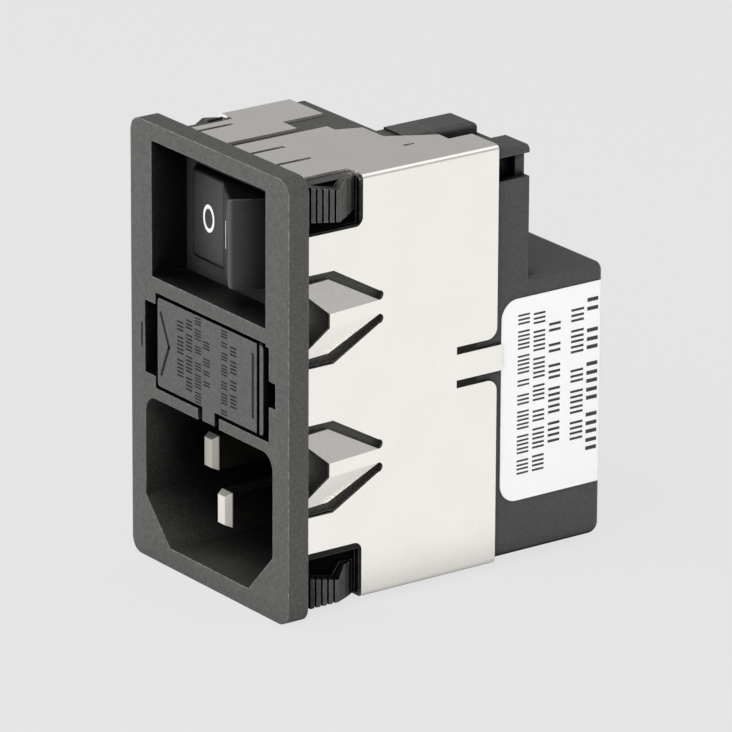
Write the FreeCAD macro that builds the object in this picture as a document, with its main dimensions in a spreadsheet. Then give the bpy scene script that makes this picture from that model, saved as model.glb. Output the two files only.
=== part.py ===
import FreeCAD, Part
import os
import re

import Sketcher

# Power entry module: snap-in appliance inlet, fuse drawer and rocker switch in one
# moulding, with a folded metal shield and a filter case behind the panel.
# Frame: X to the right seen from the front, Y into the panel, Z up, in millimetres.
# The origin is the middle of the flange's panel seat.

doc = FreeCAD.newDocument("power_entry_module")

# Driving dimensions, then the places that follow from them.
DRIVING = {
    # flange and panel seat
    "flange_thick": 2.75,
    "flange_corner": 1.8,
    "bevel_width": 2.0,
    "bevel_depth": 0.1,
    "top_land": 1.95,
    "bottom_land": 2.35,
    "side_overhang": 1.4,
    "top_overhang": 1.4,
    "bottom_overhang": 0.8,
    "seat_rim": 0.7,
    "seat_rebate": 0.4,
    # openings in the front, from the top down
    "well_height": 15.7,
    "well_width": 21.8,
    "well_depth": 4.7,
    "well_draft": 0.6,
    "chamber_set": 0.68,
    "upper_bar": 1.7,
    "bay_height": 11.2,
    "lower_bar": 1.28,
    "inlet_height": 16.87,
    "inlet_width": 24.5,
    "inlet_foot": 15.2,
    "inlet_chamfer": 5.0,
    "inlet_corner": 2.0,
    "inlet_depth": 17.5,
    "inlet_back": 2.0,
    # walls and clearances of the mouldings
    "inlet_wall": 1.05,
    "case_wall": 1.2,
    "body_edge": 0.6,
    "body_gap": 0.05,
    "seat_gap": 0.1,
    "slide_gap": 0.15,
    # how far a cut runs past a face, and how far joined blocks run into each other
    "overrun": 1.0,
    "overlap": 0.1,
    # shield sheet
    "sheet": 0.35,
    "shield_bend": 0.6,
    "shield_lap": 2.45,
    "shield_corner": 1.3,
    "latch_notch": 8.15,
    "latch_notch_drop": 5.8,
    "lower_notch_rise": 6.6,
    "notch_corner": 1.0,
    "notch_reach": 2.9,
    "flap_gap_left": 4.0,
    "flap_gap_right": 2.6,
    "flap_slit": 7.1,
    "flap_slit_left": -9.3,
    "flap_slit_middle": 0.7,
    "flap_slit_right": 5.6,
    "flap_slit_width": 0.65,
    "left_flap_length": 17.4,
    "left_flap_step": 11.9,
    "left_flap_inset": 6.8,
    "right_flap_step": 15.0,
    "right_flap_shoulder": 17.95,
    "right_flap_waist": 23.3,
    "right_flap_nose": 1.5,
    "right_flap_bay": 3.9,
    "right_flap_hip": 6.85,
    "flap_strip": 5.0,
    "lance_place": 7.8,
    "lance_width": 0.5,
    "lance_front": 17.8,
    "lance_length": 1.5,
    # earthing tongues of the shield
    "tongue_offset": 8.6,
    "tongue_length": 10.4,
    "tongue_knee": 4.0,
    "knee_set": 0.28,
    "tongue_half": 4.23,
    "tongue_neck": 0.8,
    "tongue_slit": 1.1,
    "tongue_ridge": 0.8,
    "tongue_rise": 1.25,
    "tongue_fold": 1.3,
    "tongue_drop": 0.55,
    "tongue_front": 3.2,
    "tongue_prong": 3.95,
    # rear tab of the shield
    "tab_half": 1.5,
    "tab_drop": 0.55,
    "tab_slit": 0.9,
    "tab_length": 5.5,
    "tab_reach": 0.8,
    # snap latches
    "latch_top": 0.2,
    "latch_height": 3.9,
    "lower_latch_height": 3.8,
    "lower_latch_lift": 0.3,
    "latch_first": 1.05,
    "latch_pitch": 0.83,
    "latch_rib": 0.55,
    "latch_proud": 0.75,
    "latch_fall": 0.9,
    "latch_foot_fall": 0.6,
    "shoulder_run": 1.0,
    "lower_shoulder": 0.5,
    "latch_end": 7.8,
    "latch_pocket": 0.8,
    "lower_pocket": 5.7,
    # rear case
    "case_upper_step": 4.48,
    "case_lower_step": 10.44,
    "case_shelf": 0.12,
    "case_edge": 1.3,
    "case_slot_drop": 1.35,
    "case_slot_height": 2.72,
    "case_slot_start": 0.5,
    "case_slot_depth": 2.0,
    "case_post": 1.23,
    "rib_left": 0.8,
    "rib_right": 5.15,
    "rib_start": 20.2,
    "rib_short": 1.15,
    "rib_rise": 0.25,
    "cap_width": 4.45,
    "cap_drop": 0.5,
    "tower_drop": 1.55,
    "recess_floor": 18.7,
    "ledge": 1.0,
    "ledge_length": 2.0,
    # label
    "label_sheet": 0.12,
    "label_gap": 0.85,
    "label_height": 23.7,
    "label_drop": 2.3,
    "label_corner": 2.2,
    "label_wrap": 5.0,
    # rocker
    "rocker_height": 10.3,
    "rocker_drop": 0.5,
    "rocker_arm": 6.4,
    "rocker_vee": 14.0,
    "rocker_throw": 16.0,
    "rocker_reach": 9.0,
    "rocker_sunk": 3.75,
    "rocker_flank": 1.8,
    "rocker_skirt": 3.8,
    "rocker_edge": 0.5,
    "rocker_gap": 0.35,
    "barrel_half": 3.2,
    "barrel_length": 2.4,
    "barrel_step": 1.0,
    "trunnion_radius": 1.3,
    "trunnion_set": 0.36,
    "running_gap": 0.08,
    # switch works
    "pole_pitch": 5.2,
    "plunger_radius": 0.9,
    "plunger_length": 6.4,
    "plunger_bore": 5.2,
    "plunger_guide": 1.4,
    "spring_wire": 0.22,
    "spring_turns": 3.0,
    "lever_gap": 0.1,
    "contact_gap": 0.25,
    "lever_sheet": 0.6,
    "lever_arm": 5.4,
    "lever_width": 3.6,
    "lever_tilt": 8.0,
    "lever_bead": 0.55,
    "rivet_place": 4.6,
    "rivet_radius": 1.1,
    "rivet_height": 0.4,
    "button_height": 0.6,
    "cradle_half": 1.0,
    "cradle_gap": 0.15,
    "cradle_length": 1.4,
    "cradle_lip": 0.25,
    "base_thick": 1.2,
    # blades and terminals
    "pin_width": 2.0,
    "pin_height": 4.0,
    "pin_pitch": 14.0,
    "pin_drop": 6.3,
    "earth_drop": 4.0,
    "pin_tip": 4.75,
    "earth_tip": 1.7,
    "pin_taper": 0.8,
    "pin_nose": 0.35,
    "pin_shank": 2.2,
    "tail_width": 1.0,
    "tail_height": 2.0,
    "tail_out": 1.1,
    "blade_thick": 0.8,
    "blade_neck": 3.0,
    "tab_width": 6.3,
    "tab_start": 0.3,
    "tab_out": 8.6,
    "earth_tab_width": 4.8,
    "earth_tab_out": 4.9,
    "earth_leg": 2.0,
    # fuse drawer
    "drawer_left": 9.8,
    "drawer_right": 10.45,
    "drawer_plate": 2.0,
    "drawer_gap": 0.45,
    "drawer_corner": 0.4,
    "drawer_groove": 9.5,
    "groove_width": 0.55,
    "groove_depth": 0.4,
    "drawer_key": 2.3,
    "drawer_key_drop": 1.15,
    "key_gap": 0.9,
    "key_slot_end": 0.5,
    "left_slot_depth": 2.05,
    "left_slot_height": 8.45,
    "right_slot_reach": 11.55,
    "thumb_notch_reach": 12.75,
    "thumb_notch_height": 2.95,
    "slot_depth": 4.5,
    "bay_side": 10.1,
    "tray_half": 8.2,
    "tray_wall": 1.0,
    "rail_height": 1.4,
    "fuse_radius": 2.6,
    "fuse_length": 20.0,
    "fuse_pitch": 9.2,
    "fuse_cap": 5.5,
    "cap_end": 0.8,
    "fuse_glass": 2.4,
    "fuse_glass_wall": 0.5,
    "fuse_wire": 0.25,
    "fuse_gap": 0.05,
    "fuse_start": 1.0,
    "tray_gap": 0.6,
    "bay_back": 1.4,
    "clip_sheet": 0.4,
    "clip_width": 2.0,
    "clip_bow": 5.0,
    "clip_gap": 0.15,
    "clip_out": 0.15,
    "clip_skew": 0.25,
    # filter parts
    "board_thick": 1.2,
    "board_gap": 0.2,
    "board_set": 0.3,
    "core_radius": 6.2,
    "core_bore": 3.4,
    "core_height": 5.0,
    "winding_wall": 0.8,
    "winding_spread": 62.0,
    "choke_gap": 0.4,
    "choke_drop": 2.5,
    "x_cap_width": 16.0,
    "x_cap_height": 4.2,
    "x_cap_length": 10.5,
    "y_cap_radius": 3.2,
    "y_cap_width": 3.2,
    "y_cap_gap": 0.5,
    "y_cap_pitch": 7.4,
    "resistor_radius": 1.1,
    "resistor_length": 6.4,
}

DERIVED = {
    "openings_height": "well_height + upper_bar + bay_height + lower_bar + inlet_height",
    "flange_height": "top_land + openings_height + bottom_land",
    "flange_half_z": "flange_height / 2",
    "well_top": "flange_half_z - top_land",
    "well_low": "well_top - well_height",
    "bay_top": "well_low - upper_bar",
    "bay_low": "bay_top - bay_height",
    "inlet_top": "bay_low - lower_bar",
    "inlet_low": "inlet_top - inlet_height",
    "body_half": "inlet_width / 2 + inlet_wall",
    "shield_in": "body_half + body_gap",
    "shield_half": "shield_in + sheet",
    "flange_half_x": "shield_half + side_overhang",
    "shield_top": "flange_half_z - top_overhang",
    "shield_low": "bottom_overhang - flange_half_z",
    "body_top": "shield_top - sheet - body_gap",
    "body_low": "shield_low + sheet + body_gap",
    "well_floor": "well_depth - flange_thick",
    "inlet_floor": "inlet_depth - flange_thick",
    "bay_end": "fuse_start + fuse_length + tray_wall + tray_gap",
    "body_length": "bay_end + bay_back",
    "shield_length": "body_length + shield_lap",
    "upper_end": "shield_length + case_upper_step",
    "case_end": "upper_end + case_lower_step",
    "case_step": "well_low + case_shelf",
    "chamber_half": "body_half - case_wall",
    "chamber_low": "well_low - chamber_set",
    "chamber_top": "well_top - well_draft",
    "unit_half": "chamber_half - seat_gap",
    "unit_low": "chamber_low + seat_gap",
    "unit_top": "chamber_top - seat_gap",
    "switch_z": "(well_top + well_low) / 2 - rocker_drop",
    "rocker_low": "switch_z - rocker_height / 2",
    "rocker_top": "switch_z + rocker_height / 2",
    "pivot_y": "rocker_sunk - flange_thick + rocker_reach * cos(rocker_throw)",
    "rocker_tip_u": "rocker_arm * cos(rocker_vee)",
    "rocker_tip_v": "rocker_reach + rocker_arm * sin(rocker_vee)",
    "rocker_opening": "rocker_tip_u * cos(rocker_throw) + rocker_tip_v * sin(rocker_throw) + rocker_gap",
    "lever_front": "pivot_y + plunger_length + lever_gap",
    "lever_y": "lever_front + lever_sheet + lever_bead / 2",
    "contact_y": "lever_front + lever_sheet + rivet_height + rivet_place * tan(lever_tilt) + contact_gap",
    "base_front": "lever_y + cradle_gap + cradle_length + lever_bead",
    "base_back": "base_front + base_thick",
    "recess_front": "base_front + body_gap",
    "board_front": "body_length + board_set",
    "board_back": "board_front + board_thick",
    "board_half": "chamber_half - board_gap",
    "board_low": "body_low + case_wall + board_gap",
    "board_top": "case_step - case_wall - board_gap",
    "bay_floor": "bay_low + 2 * slide_gap",
    "bay_roof": "bay_top - slide_gap",
    "tray_low": "bay_floor + slide_gap",
    "fuse_z": "tray_low + tray_wall + fuse_radius + fuse_gap",
    "fuse_end": "fuse_start + fuse_length",
    "pin_z": "inlet_top - pin_drop",
    "earth_z": "pin_z - earth_drop",
    "tail_end": "board_back + tail_out",
    "case_slot_high": "body_top - case_slot_drop",
    "case_slot_low": "case_slot_high - case_slot_height",
    "earth_tab_place": "rib_left + case_wall + slide_gap + earth_tab_width / 2",
    "choke_place_x": "choke_gap + core_radius + winding_wall + ledge - chamber_half",
    "choke_place_z": "board_top - choke_drop - core_radius - winding_wall",
    "y_cap_place": "chamber_half - ledge - y_cap_gap - y_cap_width / 2",
    "label_top": "case_step - label_drop",
    "label_low": "label_top - label_height",
    "label_front": "shield_length + label_gap",
    "latch_high": "shield_top - latch_top",
    "latch_low": "latch_high - latch_height",
    "pole_upper": "switch_z + pole_pitch / 2",
    "pole_lower": "switch_z - pole_pitch / 2",
}


def make_sheet():
    """Write every size to the sheet, one row each, with its alias."""
    table = doc.addObject("Spreadsheet::Sheet", "Size")
    rows = [(name, str(size)) for name, size in DRIVING.items()]
    rows += [(name, "=" + text) for name, text in DERIVED.items()]
    for row, (name, text) in enumerate(rows, start=1):
        table.set(f"A{row}", name)
        table.set(f"B{row}", text)
        table.setAlias(f"B{row}", name)
    doc.recompute()
    return table


sheet_of_sizes = make_sheet()


def bound(text):
    """Expression text with the sheet's name put before each size."""
    def prefixed(word):
        name = word.group()
        return "Size." + name if name in DRIVING or name in DERIVED else name
    return re.sub(r"[a-z][a-z_0-9]*", prefixed, str(text))


def value(text):
    """Number that an expression of the sheet's sizes gives now."""
    return float(sheet_of_sizes.evalExpression(bound(text)))


def box(name, x, y, z):
    """Block between a low and a high expression on each axis."""
    block = doc.addObject("Part::Box", name)
    for side, axis, (low, high) in zip(("Length", "Width", "Height"), "xyz", (x, y, z)):
        block.setExpression(side, bound(f"({high}) - ({low})"))
        block.setExpression(f".Placement.Base.{axis}", bound(low))
    return block


def wedge(name, x, y, z, inset):
    """Block whose front face is smaller than its back by an inset on all four sides."""
    piece = doc.addObject("Part::Wedge", name)
    for axis, (low, high) in (("X", x), ("Z", z)):
        piece.setExpression(f"{axis}min", bound(f"{low} + {inset}"))
        piece.setExpression(f"{axis}max", bound(f"{high} - {inset}"))
        piece.setExpression(f"{axis}2min", bound(low))
        piece.setExpression(f"{axis}2max", bound(high))
    piece.setExpression("Ymin", bound(y[0]))
    piece.setExpression("Ymax", bound(y[1]))
    return piece


TURNS = {
    "x": FreeCAD.Rotation(FreeCAD.Vector(0, 1, 0), 90),
    "y": FreeCAD.Rotation(FreeCAD.Vector(1, 0, 0), -90),
    "z": FreeCAD.Rotation(),
}


def rod(name, axis, centre, low, high, radius):
    """Cylinder along an axis from low to high, with its centre on the other two axes."""
    piece = doc.addObject("Part::Cylinder", name)
    piece.Placement = FreeCAD.Placement(FreeCAD.Vector(), TURNS[axis])
    piece.setExpression("Radius", bound(radius))
    piece.setExpression("Height", bound(f"({high}) - ({low})"))
    others = [letter for letter in "xyz" if letter != axis]
    for letter, place in zip(others, centre):
        piece.setExpression(f".Placement.Base.{letter}", bound(place))
    piece.setExpression(f".Placement.Base.{axis}", bound(low))
    return piece


# How a sketch lies for an extrusion along each axis, and that axis as a vector.
LIES = {
    "x": (FreeCAD.Rotation(FreeCAD.Vector(1, 1, 1), 120), FreeCAD.Vector(1, 0, 0)),
    "y": (FreeCAD.Rotation(FreeCAD.Vector(1, 0, 0), 90), FreeCAD.Vector(0, 1, 0)),
    "z": (FreeCAD.Rotation(), FreeCAD.Vector(0, 0, 1)),
}


def outline_into(sketch, points):
    """Draw a closed outline of straight edges and bind each corner to the sheet."""
    places = [FreeCAD.Vector(value(u), value(v), 0) for u, v in points]
    count = len(places)
    for index in range(count):
        sketch.addGeometry(Part.LineSegment(places[index], places[(index + 1) % count]), False)
    for index in range(count):
        sketch.addConstraint(Sketcher.Constraint("Coincident", index, 2, (index + 1) % count, 1))
    for index, (u, v) in enumerate(points):
        corner = places[index]
        for kind, text, number in (("DistanceX", u, corner.x), ("DistanceY", v, corner.y)):
            place = sketch.addConstraint(Sketcher.Constraint(kind, -1, 1, index, 1, number))
            sketch.setExpression(f"Constraints[{place}]", bound(text))


def section(name, axis, at, points):
    """Sketch of a closed outline on the plane across an axis at a place."""
    sketch = doc.addObject("Sketcher::SketchObject", name)
    sketch.Placement = FreeCAD.Placement(FreeCAD.Vector(), LIES[axis][0])
    sketch.setExpression(f".Placement.Base.{axis}", bound(at))
    outline_into(sketch, points)
    return sketch


def prism(name, axis, points, low, high):
    """Outline extruded along an axis: X takes (y, z) points, Y takes (x, z), Z takes (x, y)."""
    piece = doc.addObject("Part::Extrusion", name)
    piece.Base = section(name + "_outline", axis, low, points)
    piece.DirMode = "Custom"
    piece.Dir = LIES[axis][1]
    piece.setExpression("LengthFwd", bound(f"({high}) - ({low})"))
    piece.Solid = True
    return piece


def fused(name, pieces):
    """One solid made of several that touch or overlap."""
    whole = doc.addObject("Part::MultiFuse", name)
    whole.Shapes = pieces
    whole.Refine = True
    return whole


def cut(name, base, tools):
    """A base with every tool taken away."""
    result = doc.addObject("Part::Cut", name)
    result.Base = base
    result.Tool = tools[0] if len(tools) == 1 else fused(name + "_tools", tools)
    result.Refine = True
    return result


def common(name, first, second):
    """What two solids share."""
    result = doc.addObject("Part::Common", name)
    result.Base = first
    result.Tool = second
    return result


def mirrored(name, source):
    """The same piece on the other side of the middle plane."""
    result = doc.addObject("Part::Mirroring", name)
    result.Source = source
    result.Normal = FreeCAD.Vector(1, 0, 0)
    result.Base = FreeCAD.Vector(0, 0, 0)
    return result


def along(edge, axis):
    """Whether an edge is straight and runs along an axis."""
    if edge.Curve.TypeId != "Part::GeomLine":
        return False
    direction = edge.tangentAt(edge.FirstParameter)
    return abs(abs(getattr(direction, axis)) - 1) < 1e-6


def softened(name, base, radius, wanted):
    """Base with rounded edges, picked by a test on each edge."""
    doc.recompute()
    result = doc.addObject("Part::Fillet", name)
    result.Base = base
    size = value(radius)
    picked = [number for number, edge in enumerate(base.Shape.Edges, start=1) if wanted(edge)]
    result.Edges = [(number, size, size) for number in picked]
    return result


def near(edge, **places):
    """Whether the middle of an edge lies at the given coordinates."""
    middle = edge.CenterOfMass
    return all(abs(getattr(middle, axis) - place) < 0.02 for axis, place in places.items())


def revolved_body(name, points):
    """Part design body turned about the Z axis from an outline of (radius, height) points."""
    body = doc.addObject("PartDesign::Body", name)
    sketch = body.newObject("Sketcher::SketchObject", name + "_profile")
    support = next(item for item in body.Origin.OriginFeatures if item.Role == "XZ_Plane")
    sketch.AttachmentSupport = [(support, "")]
    sketch.MapMode = "FlatFace"
    outline_into(sketch, points)
    turn = body.newObject("PartDesign::Revolution", name + "_turn")
    turn.Profile = sketch
    turn.ReferenceAxis = (sketch, ["V_Axis"])
    turn.Angle = 360
    doc.recompute()
    return body


nodes = {}


def keep(name, piece):
    """Name a finished sub-part for its file."""
    piece.Label = name
    nodes[name] = piece


def around(place, width, gap="0"):
    """Low and high ends of a width about a place, with a gap added at each end."""
    half = f"({width}) / 2 + {gap}"
    return f"{place} - ({half})", f"{place} + ({half})"


# Front housing: flange, switch well, fuse bay, inlet cavity and snap latches in one moulding.
def make_flange():
    """Flange plate with round corners, a shallow front bevel and a rebate behind its seat rim."""
    wide = ("-flange_half_x", "flange_half_x")
    tall = ("-flange_half_z", "flange_half_z")
    shoulder = "bevel_depth - flange_thick"
    blank = box("flange_blank", wide, ("-flange_thick", 0), tall)
    plate = softened("flange_plate", blank, "flange_corner", lambda edge: along(edge, "y"))
    bevel = wedge("flange_bevel", wide, ("-flange_thick", shoulder), tall, "bevel_width")
    slab = box("flange_slab", wide, (shoulder, 0), tall)
    shaped = common("flange_shaped", plate, fused("flange_sharp", [bevel, slab]))
    rebate = box("rebate", around(0, "2 * flange_half_x", "-seat_rim"), ("-seat_rebate", "overrun"),
                 around(0, "2 * flange_half_z", "-seat_rim"))
    return cut("flange", shaped, [rebate])


# Share of a latch ramp's length and the share of its height lost there.
RAMP_KNEES = ((0.0, 0.06), (0.35, 0.33), (0.7, 0.66))
LATCH_RIBS = 5


def make_latch(name, low, high, foot_fall, shoulder):
    """Right-hand snap latch: grip ribs that sink to the rear, then a ramp with a raised shoulder."""
    side = "body_half - latch_pocket - overlap"
    crest = "body_half + latch_proud"
    last = f"latch_first + {LATCH_RIBS - 1} * latch_pitch + latch_rib"
    tall = (f"{low} - {foot_fall}", f"{high} + {shoulder}")
    pieces = [box(name + "_root", (side, "body_half"), ("latch_first", last), tall)]
    for index in range(LATCH_RIBS):
        start = f"latch_first + {index} * latch_pitch"
        pieces.append(box(f"{name}_rib_{index}", (side, crest), (start, start + " + latch_rib"), tall))
    ramp = [(side, last)]
    for run, fall in RAMP_KNEES:
        ramp.append((f"{crest} - {fall} * (latch_proud + latch_pocket)",
                     f"({last}) + {run} * (latch_end - ({last}))"))
    ramp += [("body_half - latch_pocket", "latch_end"), (side, "latch_end")]
    pieces.append(prism(name + "_ramp", "z", ramp, *tall))
    outline = [("latch_first", low), (last, tall[0]), ("latch_end", low), ("latch_end", tall[1]),
               (f"{last} + shoulder_run", tall[1]), (last, f"{high} - latch_fall"), ("latch_first", high)]
    side_view = prism(name + "_side_view", "x", outline, side + " - overrun", crest + " + overrun")
    return common(name, fused(name + "_blank", pieces), side_view)


def make_inlet_cavity():
    """Connector cavity: a rectangle with two chamfered lower corners and two round upper ones."""
    wide = "inlet_width / 2"
    foot = "inlet_foot / 2"
    shoulder = "inlet_low + inlet_chamfer"
    right = [(foot, "inlet_low"), (wide, shoulder), (wide, "inlet_top")]
    left = [(f"-{x}", z) for x, z in reversed(right)]
    cavity = prism("inlet_cavity", "y", left + right, "-flange_thick - overrun", "inlet_floor")
    top = value("inlet_top")
    return softened("inlet_cavity_round", cavity, "inlet_corner",
                    lambda edge: along(edge, "y") and near(edge, z=top))


def make_bay_cuts():
    """Fuse bay with its front opening, finger slots, thumb notch and key gap."""
    front = "-flange_thick - overrun"
    deep = (front, "slot_depth - flange_thick")
    left = "-drawer_left - drawer_gap"
    right = "drawer_right + drawer_gap"
    middle = "(bay_low + bay_top) / 2"
    return [
        box("bay_mouth", (left, right), (front, 0), ("bay_low", "bay_top")),
        box("bay_cavity", ("-bay_side", "bay_side"), ("-overlap", "bay_end"), ("bay_floor", "bay_roof")),
        box("left_slot", (f"{left} - left_slot_depth", f"{left} + overlap"), deep,
            around(middle, "left_slot_height")),
        box("right_slot", (f"{right} - overlap", "right_slot_reach"), deep,
            ("bay_low", "bay_top - 2 * slide_gap")),
        box("thumb_notch", ("right_slot_reach - overlap", "thumb_notch_reach"), (front, 0),
            around(middle, "thumb_notch_height")),
        box("key_gap", around(0, "drawer_key", "key_gap"), (front, "key_slot_end"),
            ("inlet_top - overlap", "bay_low + overlap")),
    ]


def pin_places():
    """Names, X and Z places and tip depths of the three inlet blades."""
    return (("line_pin", "pin_pitch / 2", "pin_z", "pin_tip"),
            ("neutral_pin", "-pin_pitch / 2", "pin_z", "pin_tip"),
            ("earth_pin", "0", "earth_z", "earth_tip"))


def clip_places():
    """Names, X middles and Y middles of the four fuse contacts."""
    outer = "fuse_pitch / 2 + clip_width"
    inner = "fuse_pitch / 2 - clip_width / 2 - clip_gap"
    near_end = "fuse_start + fuse_cap / 2"
    far_end = "fuse_end - fuse_cap / 2"
    return (("front_left_fuse_contact", f"-({outer})", near_end),
            ("front_right_fuse_contact", outer, near_end),
            ("rear_left_fuse_contact", f"-({inner})", far_end),
            ("rear_right_fuse_contact", inner, far_end))


def make_rib(name, low, high, ends_free):
    """Raised rib along the top, with a round right edge and a round end where it is free."""
    top = value("body_top + rib_rise")
    right = value("rib_right")
    rear = value(high)

    def outer_edge(edge):
        middle = edge.CenterOfMass
        at_right = abs(middle.x - right) < 1e-6
        at_end = ends_free and abs(middle.y - rear) < 1e-6
        return abs(middle.z - top) < 1e-6 and (at_right or at_end)

    bar = box(name, ("rib_left", "rib_right"), (low, high),
              ("body_top - tower_drop - overlap", "body_top + rib_rise"))
    return softened(name + "_round", bar, "body_edge", outer_edge)


def make_housing_cuts():
    """Every hollow of the front moulding: cavities, recess, blade holes, contact slots and pockets."""
    chamber = ("-chamber_half", "chamber_half")
    open_end = "body_length + overrun"
    well = [("-flange_thick", "well_low"), ("well_floor + overlap", "well_low"),
            ("well_floor + overlap", "well_top - well_draft"), ("-flange_thick", "well_top")]
    tools = [make_inlet_cavity(), prism("well", "x", well, "-well_width / 2", "well_width / 2")]
    tools += make_bay_cuts()
    tools.append(box("switch_recess", ("-body_half - overrun", "rib_left"), ("recess_front", open_end),
                     ("recess_floor", "body_top + overrun")))
    tools.append(box("switch_chamber", chamber, ("well_floor", open_end), ("chamber_low", "chamber_top")))
    tools.append(box("rear_chamber", chamber, ("inlet_floor + inlet_back", open_end),
                     ("body_low + case_wall", "inlet_top")))
    for name, x, z, tip in pin_places():
        tools.append(box(name + "_hole", around(x, "pin_width", "body_gap"),
                         ("inlet_floor - overrun", "inlet_floor + inlet_back + overrun"),
                         around(z, "pin_height", "body_gap")))
    for name, x, y in clip_places():
        tools.append(box(name + "_slot", around(x, "clip_width", "body_gap"), ("bay_end - overrun", open_end),
                         ("bay_roof - clip_sheet - 2 * body_gap", "bay_roof")))
    for name, centre in (("upper", "tongue_offset"), ("lower", "-tongue_offset")):
        pocket = box(name + "_tongue_pocket", ("body_half - tongue_drop - slide_gap", "body_half + overrun"),
                     ("-seat_rebate", "tongue_length + tongue_slit"),
                     around(centre, "2 * tongue_half + 2 * tongue_slit", "slide_gap"))
        tools += [pocket, mirrored(pocket.Name + "_left", pocket)]
    return tools


def make_latch_pockets():
    """Hollows in the body's sides that give each snap latch room to flex."""
    reach = ("body_half - latch_pocket", "body_half + overrun")
    deep = ("0", "latch_notch - slide_gap")
    upper = box("upper_pocket", reach, deep,
                ("shield_top - latch_notch_drop + slide_gap", "body_top + overrun"))
    lower = box("lower_pocket", reach, deep, ("body_low - overrun", "shield_low + lower_pocket"))
    return [upper, lower, mirrored("upper_pocket_left", upper), mirrored("lower_pocket_left", lower)]


def make_front_housing():
    """The whole front moulding."""
    block = box("body_block", ("-body_half", "body_half"), ("-seat_rebate - overlap", "body_length"),
                ("body_low", "body_top"))
    block_round = softened("body_round", block, "body_edge", lambda edge: along(edge, "y"))
    body = cut("body", block_round, make_latch_pockets())
    upper = make_latch("upper_latch", "latch_low", "latch_high", "latch_foot_fall", "0")
    lower = make_latch("lower_latch", "shield_low + lower_latch_lift", "shield_low + lower_latch_height",
                       "0", "lower_shoulder")
    latches = [upper, lower, mirrored("upper_latch_left", upper), mirrored("lower_latch_left", lower)]
    rib = make_rib("housing_rib", "rib_start", "body_length", False)
    solid = fused("housing_solid", [make_flange(), body, rib] + latches)
    keep("front_housing", cut("front_housing", solid, make_housing_cuts()))


# Shield: one sheet folded round the body, open along the middle of the top.
def make_tongue(name, centre):
    """Right-hand earthing tongue: a folded ridge that rises from its neck towards the flange."""
    def ridge_section(label, at, rise):
        high = "shield_half + " + rise
        low = high + " - tongue_fold"
        outer = [(low, f"{centre} - tongue_half"), (high, f"{centre} - tongue_ridge"),
                 (high, f"{centre} + tongue_ridge"), (low, f"{centre} + tongue_half")]
        inner = [(f"{x} - sheet", z) for x, z in reversed(outer)]
        return section(label, "y", at, outer + inner)

    loft = doc.addObject("Part::Loft", name + "_fold")
    loft.Sections = [ridge_section(name + "_front", "-seat_rebate", "tongue_rise"),
                     ridge_section(name + "_neck", "tongue_length", "0")]
    loft.Solid = True
    loft.Ruled = True
    front = "-seat_rebate + body_gap"
    half = [("tongue_front", "tongue_ridge"), (front, "tongue_prong"), (front, "tongue_half"),
            ("tongue_knee", "tongue_half"), ("tongue_length", "tongue_neck")]
    upper = [(y, f"{centre} + {z}") for y, z in half]
    lower = [(y, f"{centre} - {z}") for y, z in reversed(half)]
    plan = prism(name + "_plan", "x", upper + lower, "shield_in - tongue_fold - overrun",
                 "shield_half + tongue_rise + overrun")
    return common(name, loft, plan)


def make_tongue_window(name, centre):
    """Opening round a tongue: two slits with a knee and a round end each."""
    outer = "tongue_half + tongue_slit"
    end = "tongue_neck + tongue_slit"
    half = [("-overrun", outer), ("tongue_knee + knee_set", outer), ("tongue_length", end)]
    upper = [(y, f"{centre} + {z}") for y, z in half]
    lower = [(y, f"{centre} - ({z})") for y, z in reversed(half)]
    reach = ("shield_in - overrun", "shield_half + overrun")
    pieces = [prism(name, "x", upper + lower, *reach)]
    for side, sign in (("upper", "+"), ("lower", "-")):
        place = ("tongue_length", f"{centre} {sign} (tongue_neck + tongue_slit / 2)")
        pieces.append(rod(f"{name}_end_{side}", "x", place, *reach, "tongue_slit / 2"))
    return fused(name + "_cut", pieces)


def make_latch_notch(name, low, high, corner):
    """Clear notch round a snap latch on the right, with a round inner corner."""
    blank = box(name, ("shield_half - notch_reach", "shield_half + overrun"), ("-overrun", "latch_notch"),
                (low, high))
    depth = value("latch_notch")
    height = value(corner)
    return softened(name + "_round", blank, "notch_corner",
                    lambda edge: along(edge, "x") and near(edge, y=depth, z=height))


def make_flap_cuts():
    """Gap between the top flaps, the low left wall behind them, their slits and a lance hole."""
    behind = "shield_length + overrun"
    outside = "-shield_half - overrun"
    strip = "shield_half - flap_strip"
    gap = [("-flap_gap_left", "-overrun"), ("-flap_gap_right", "-overrun"),
           ("-flap_gap_right", "right_flap_step"), ("right_flap_nose - flap_gap_right", "right_flap_step"),
           ("0", "right_flap_shoulder"), ("right_flap_bay", "right_flap_shoulder"),
           ("right_flap_hip", "right_flap_waist"), (strip, "right_flap_waist"), (strip, behind),
           (outside, behind), (outside, "left_flap_length"), ("-left_flap_inset", "left_flap_length"),
           ("-left_flap_inset", "left_flap_step"), ("-flap_gap_left", "left_flap_step")]
    roof = ("shield_top - sheet - body_gap", "shield_top + overrun")
    tools = [prism("flap_gap", "z", gap, *roof),
             box("left_wall_step", (outside, "shield_bend - shield_half"), ("left_flap_length", behind),
                 ("recess_floor", "shield_top + overrun")),
             box("lance_hole", around("lance_place", "lance_width"),
                 ("lance_front", "lance_front + lance_length"), roof)]
    for side in ("left", "middle", "right"):
        tools.append(box(f"{side}_flap_slit", around(f"flap_slit_{side}", "flap_slit_width"),
                         ("-overrun", "flap_slit"), roof))
    return tools


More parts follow.
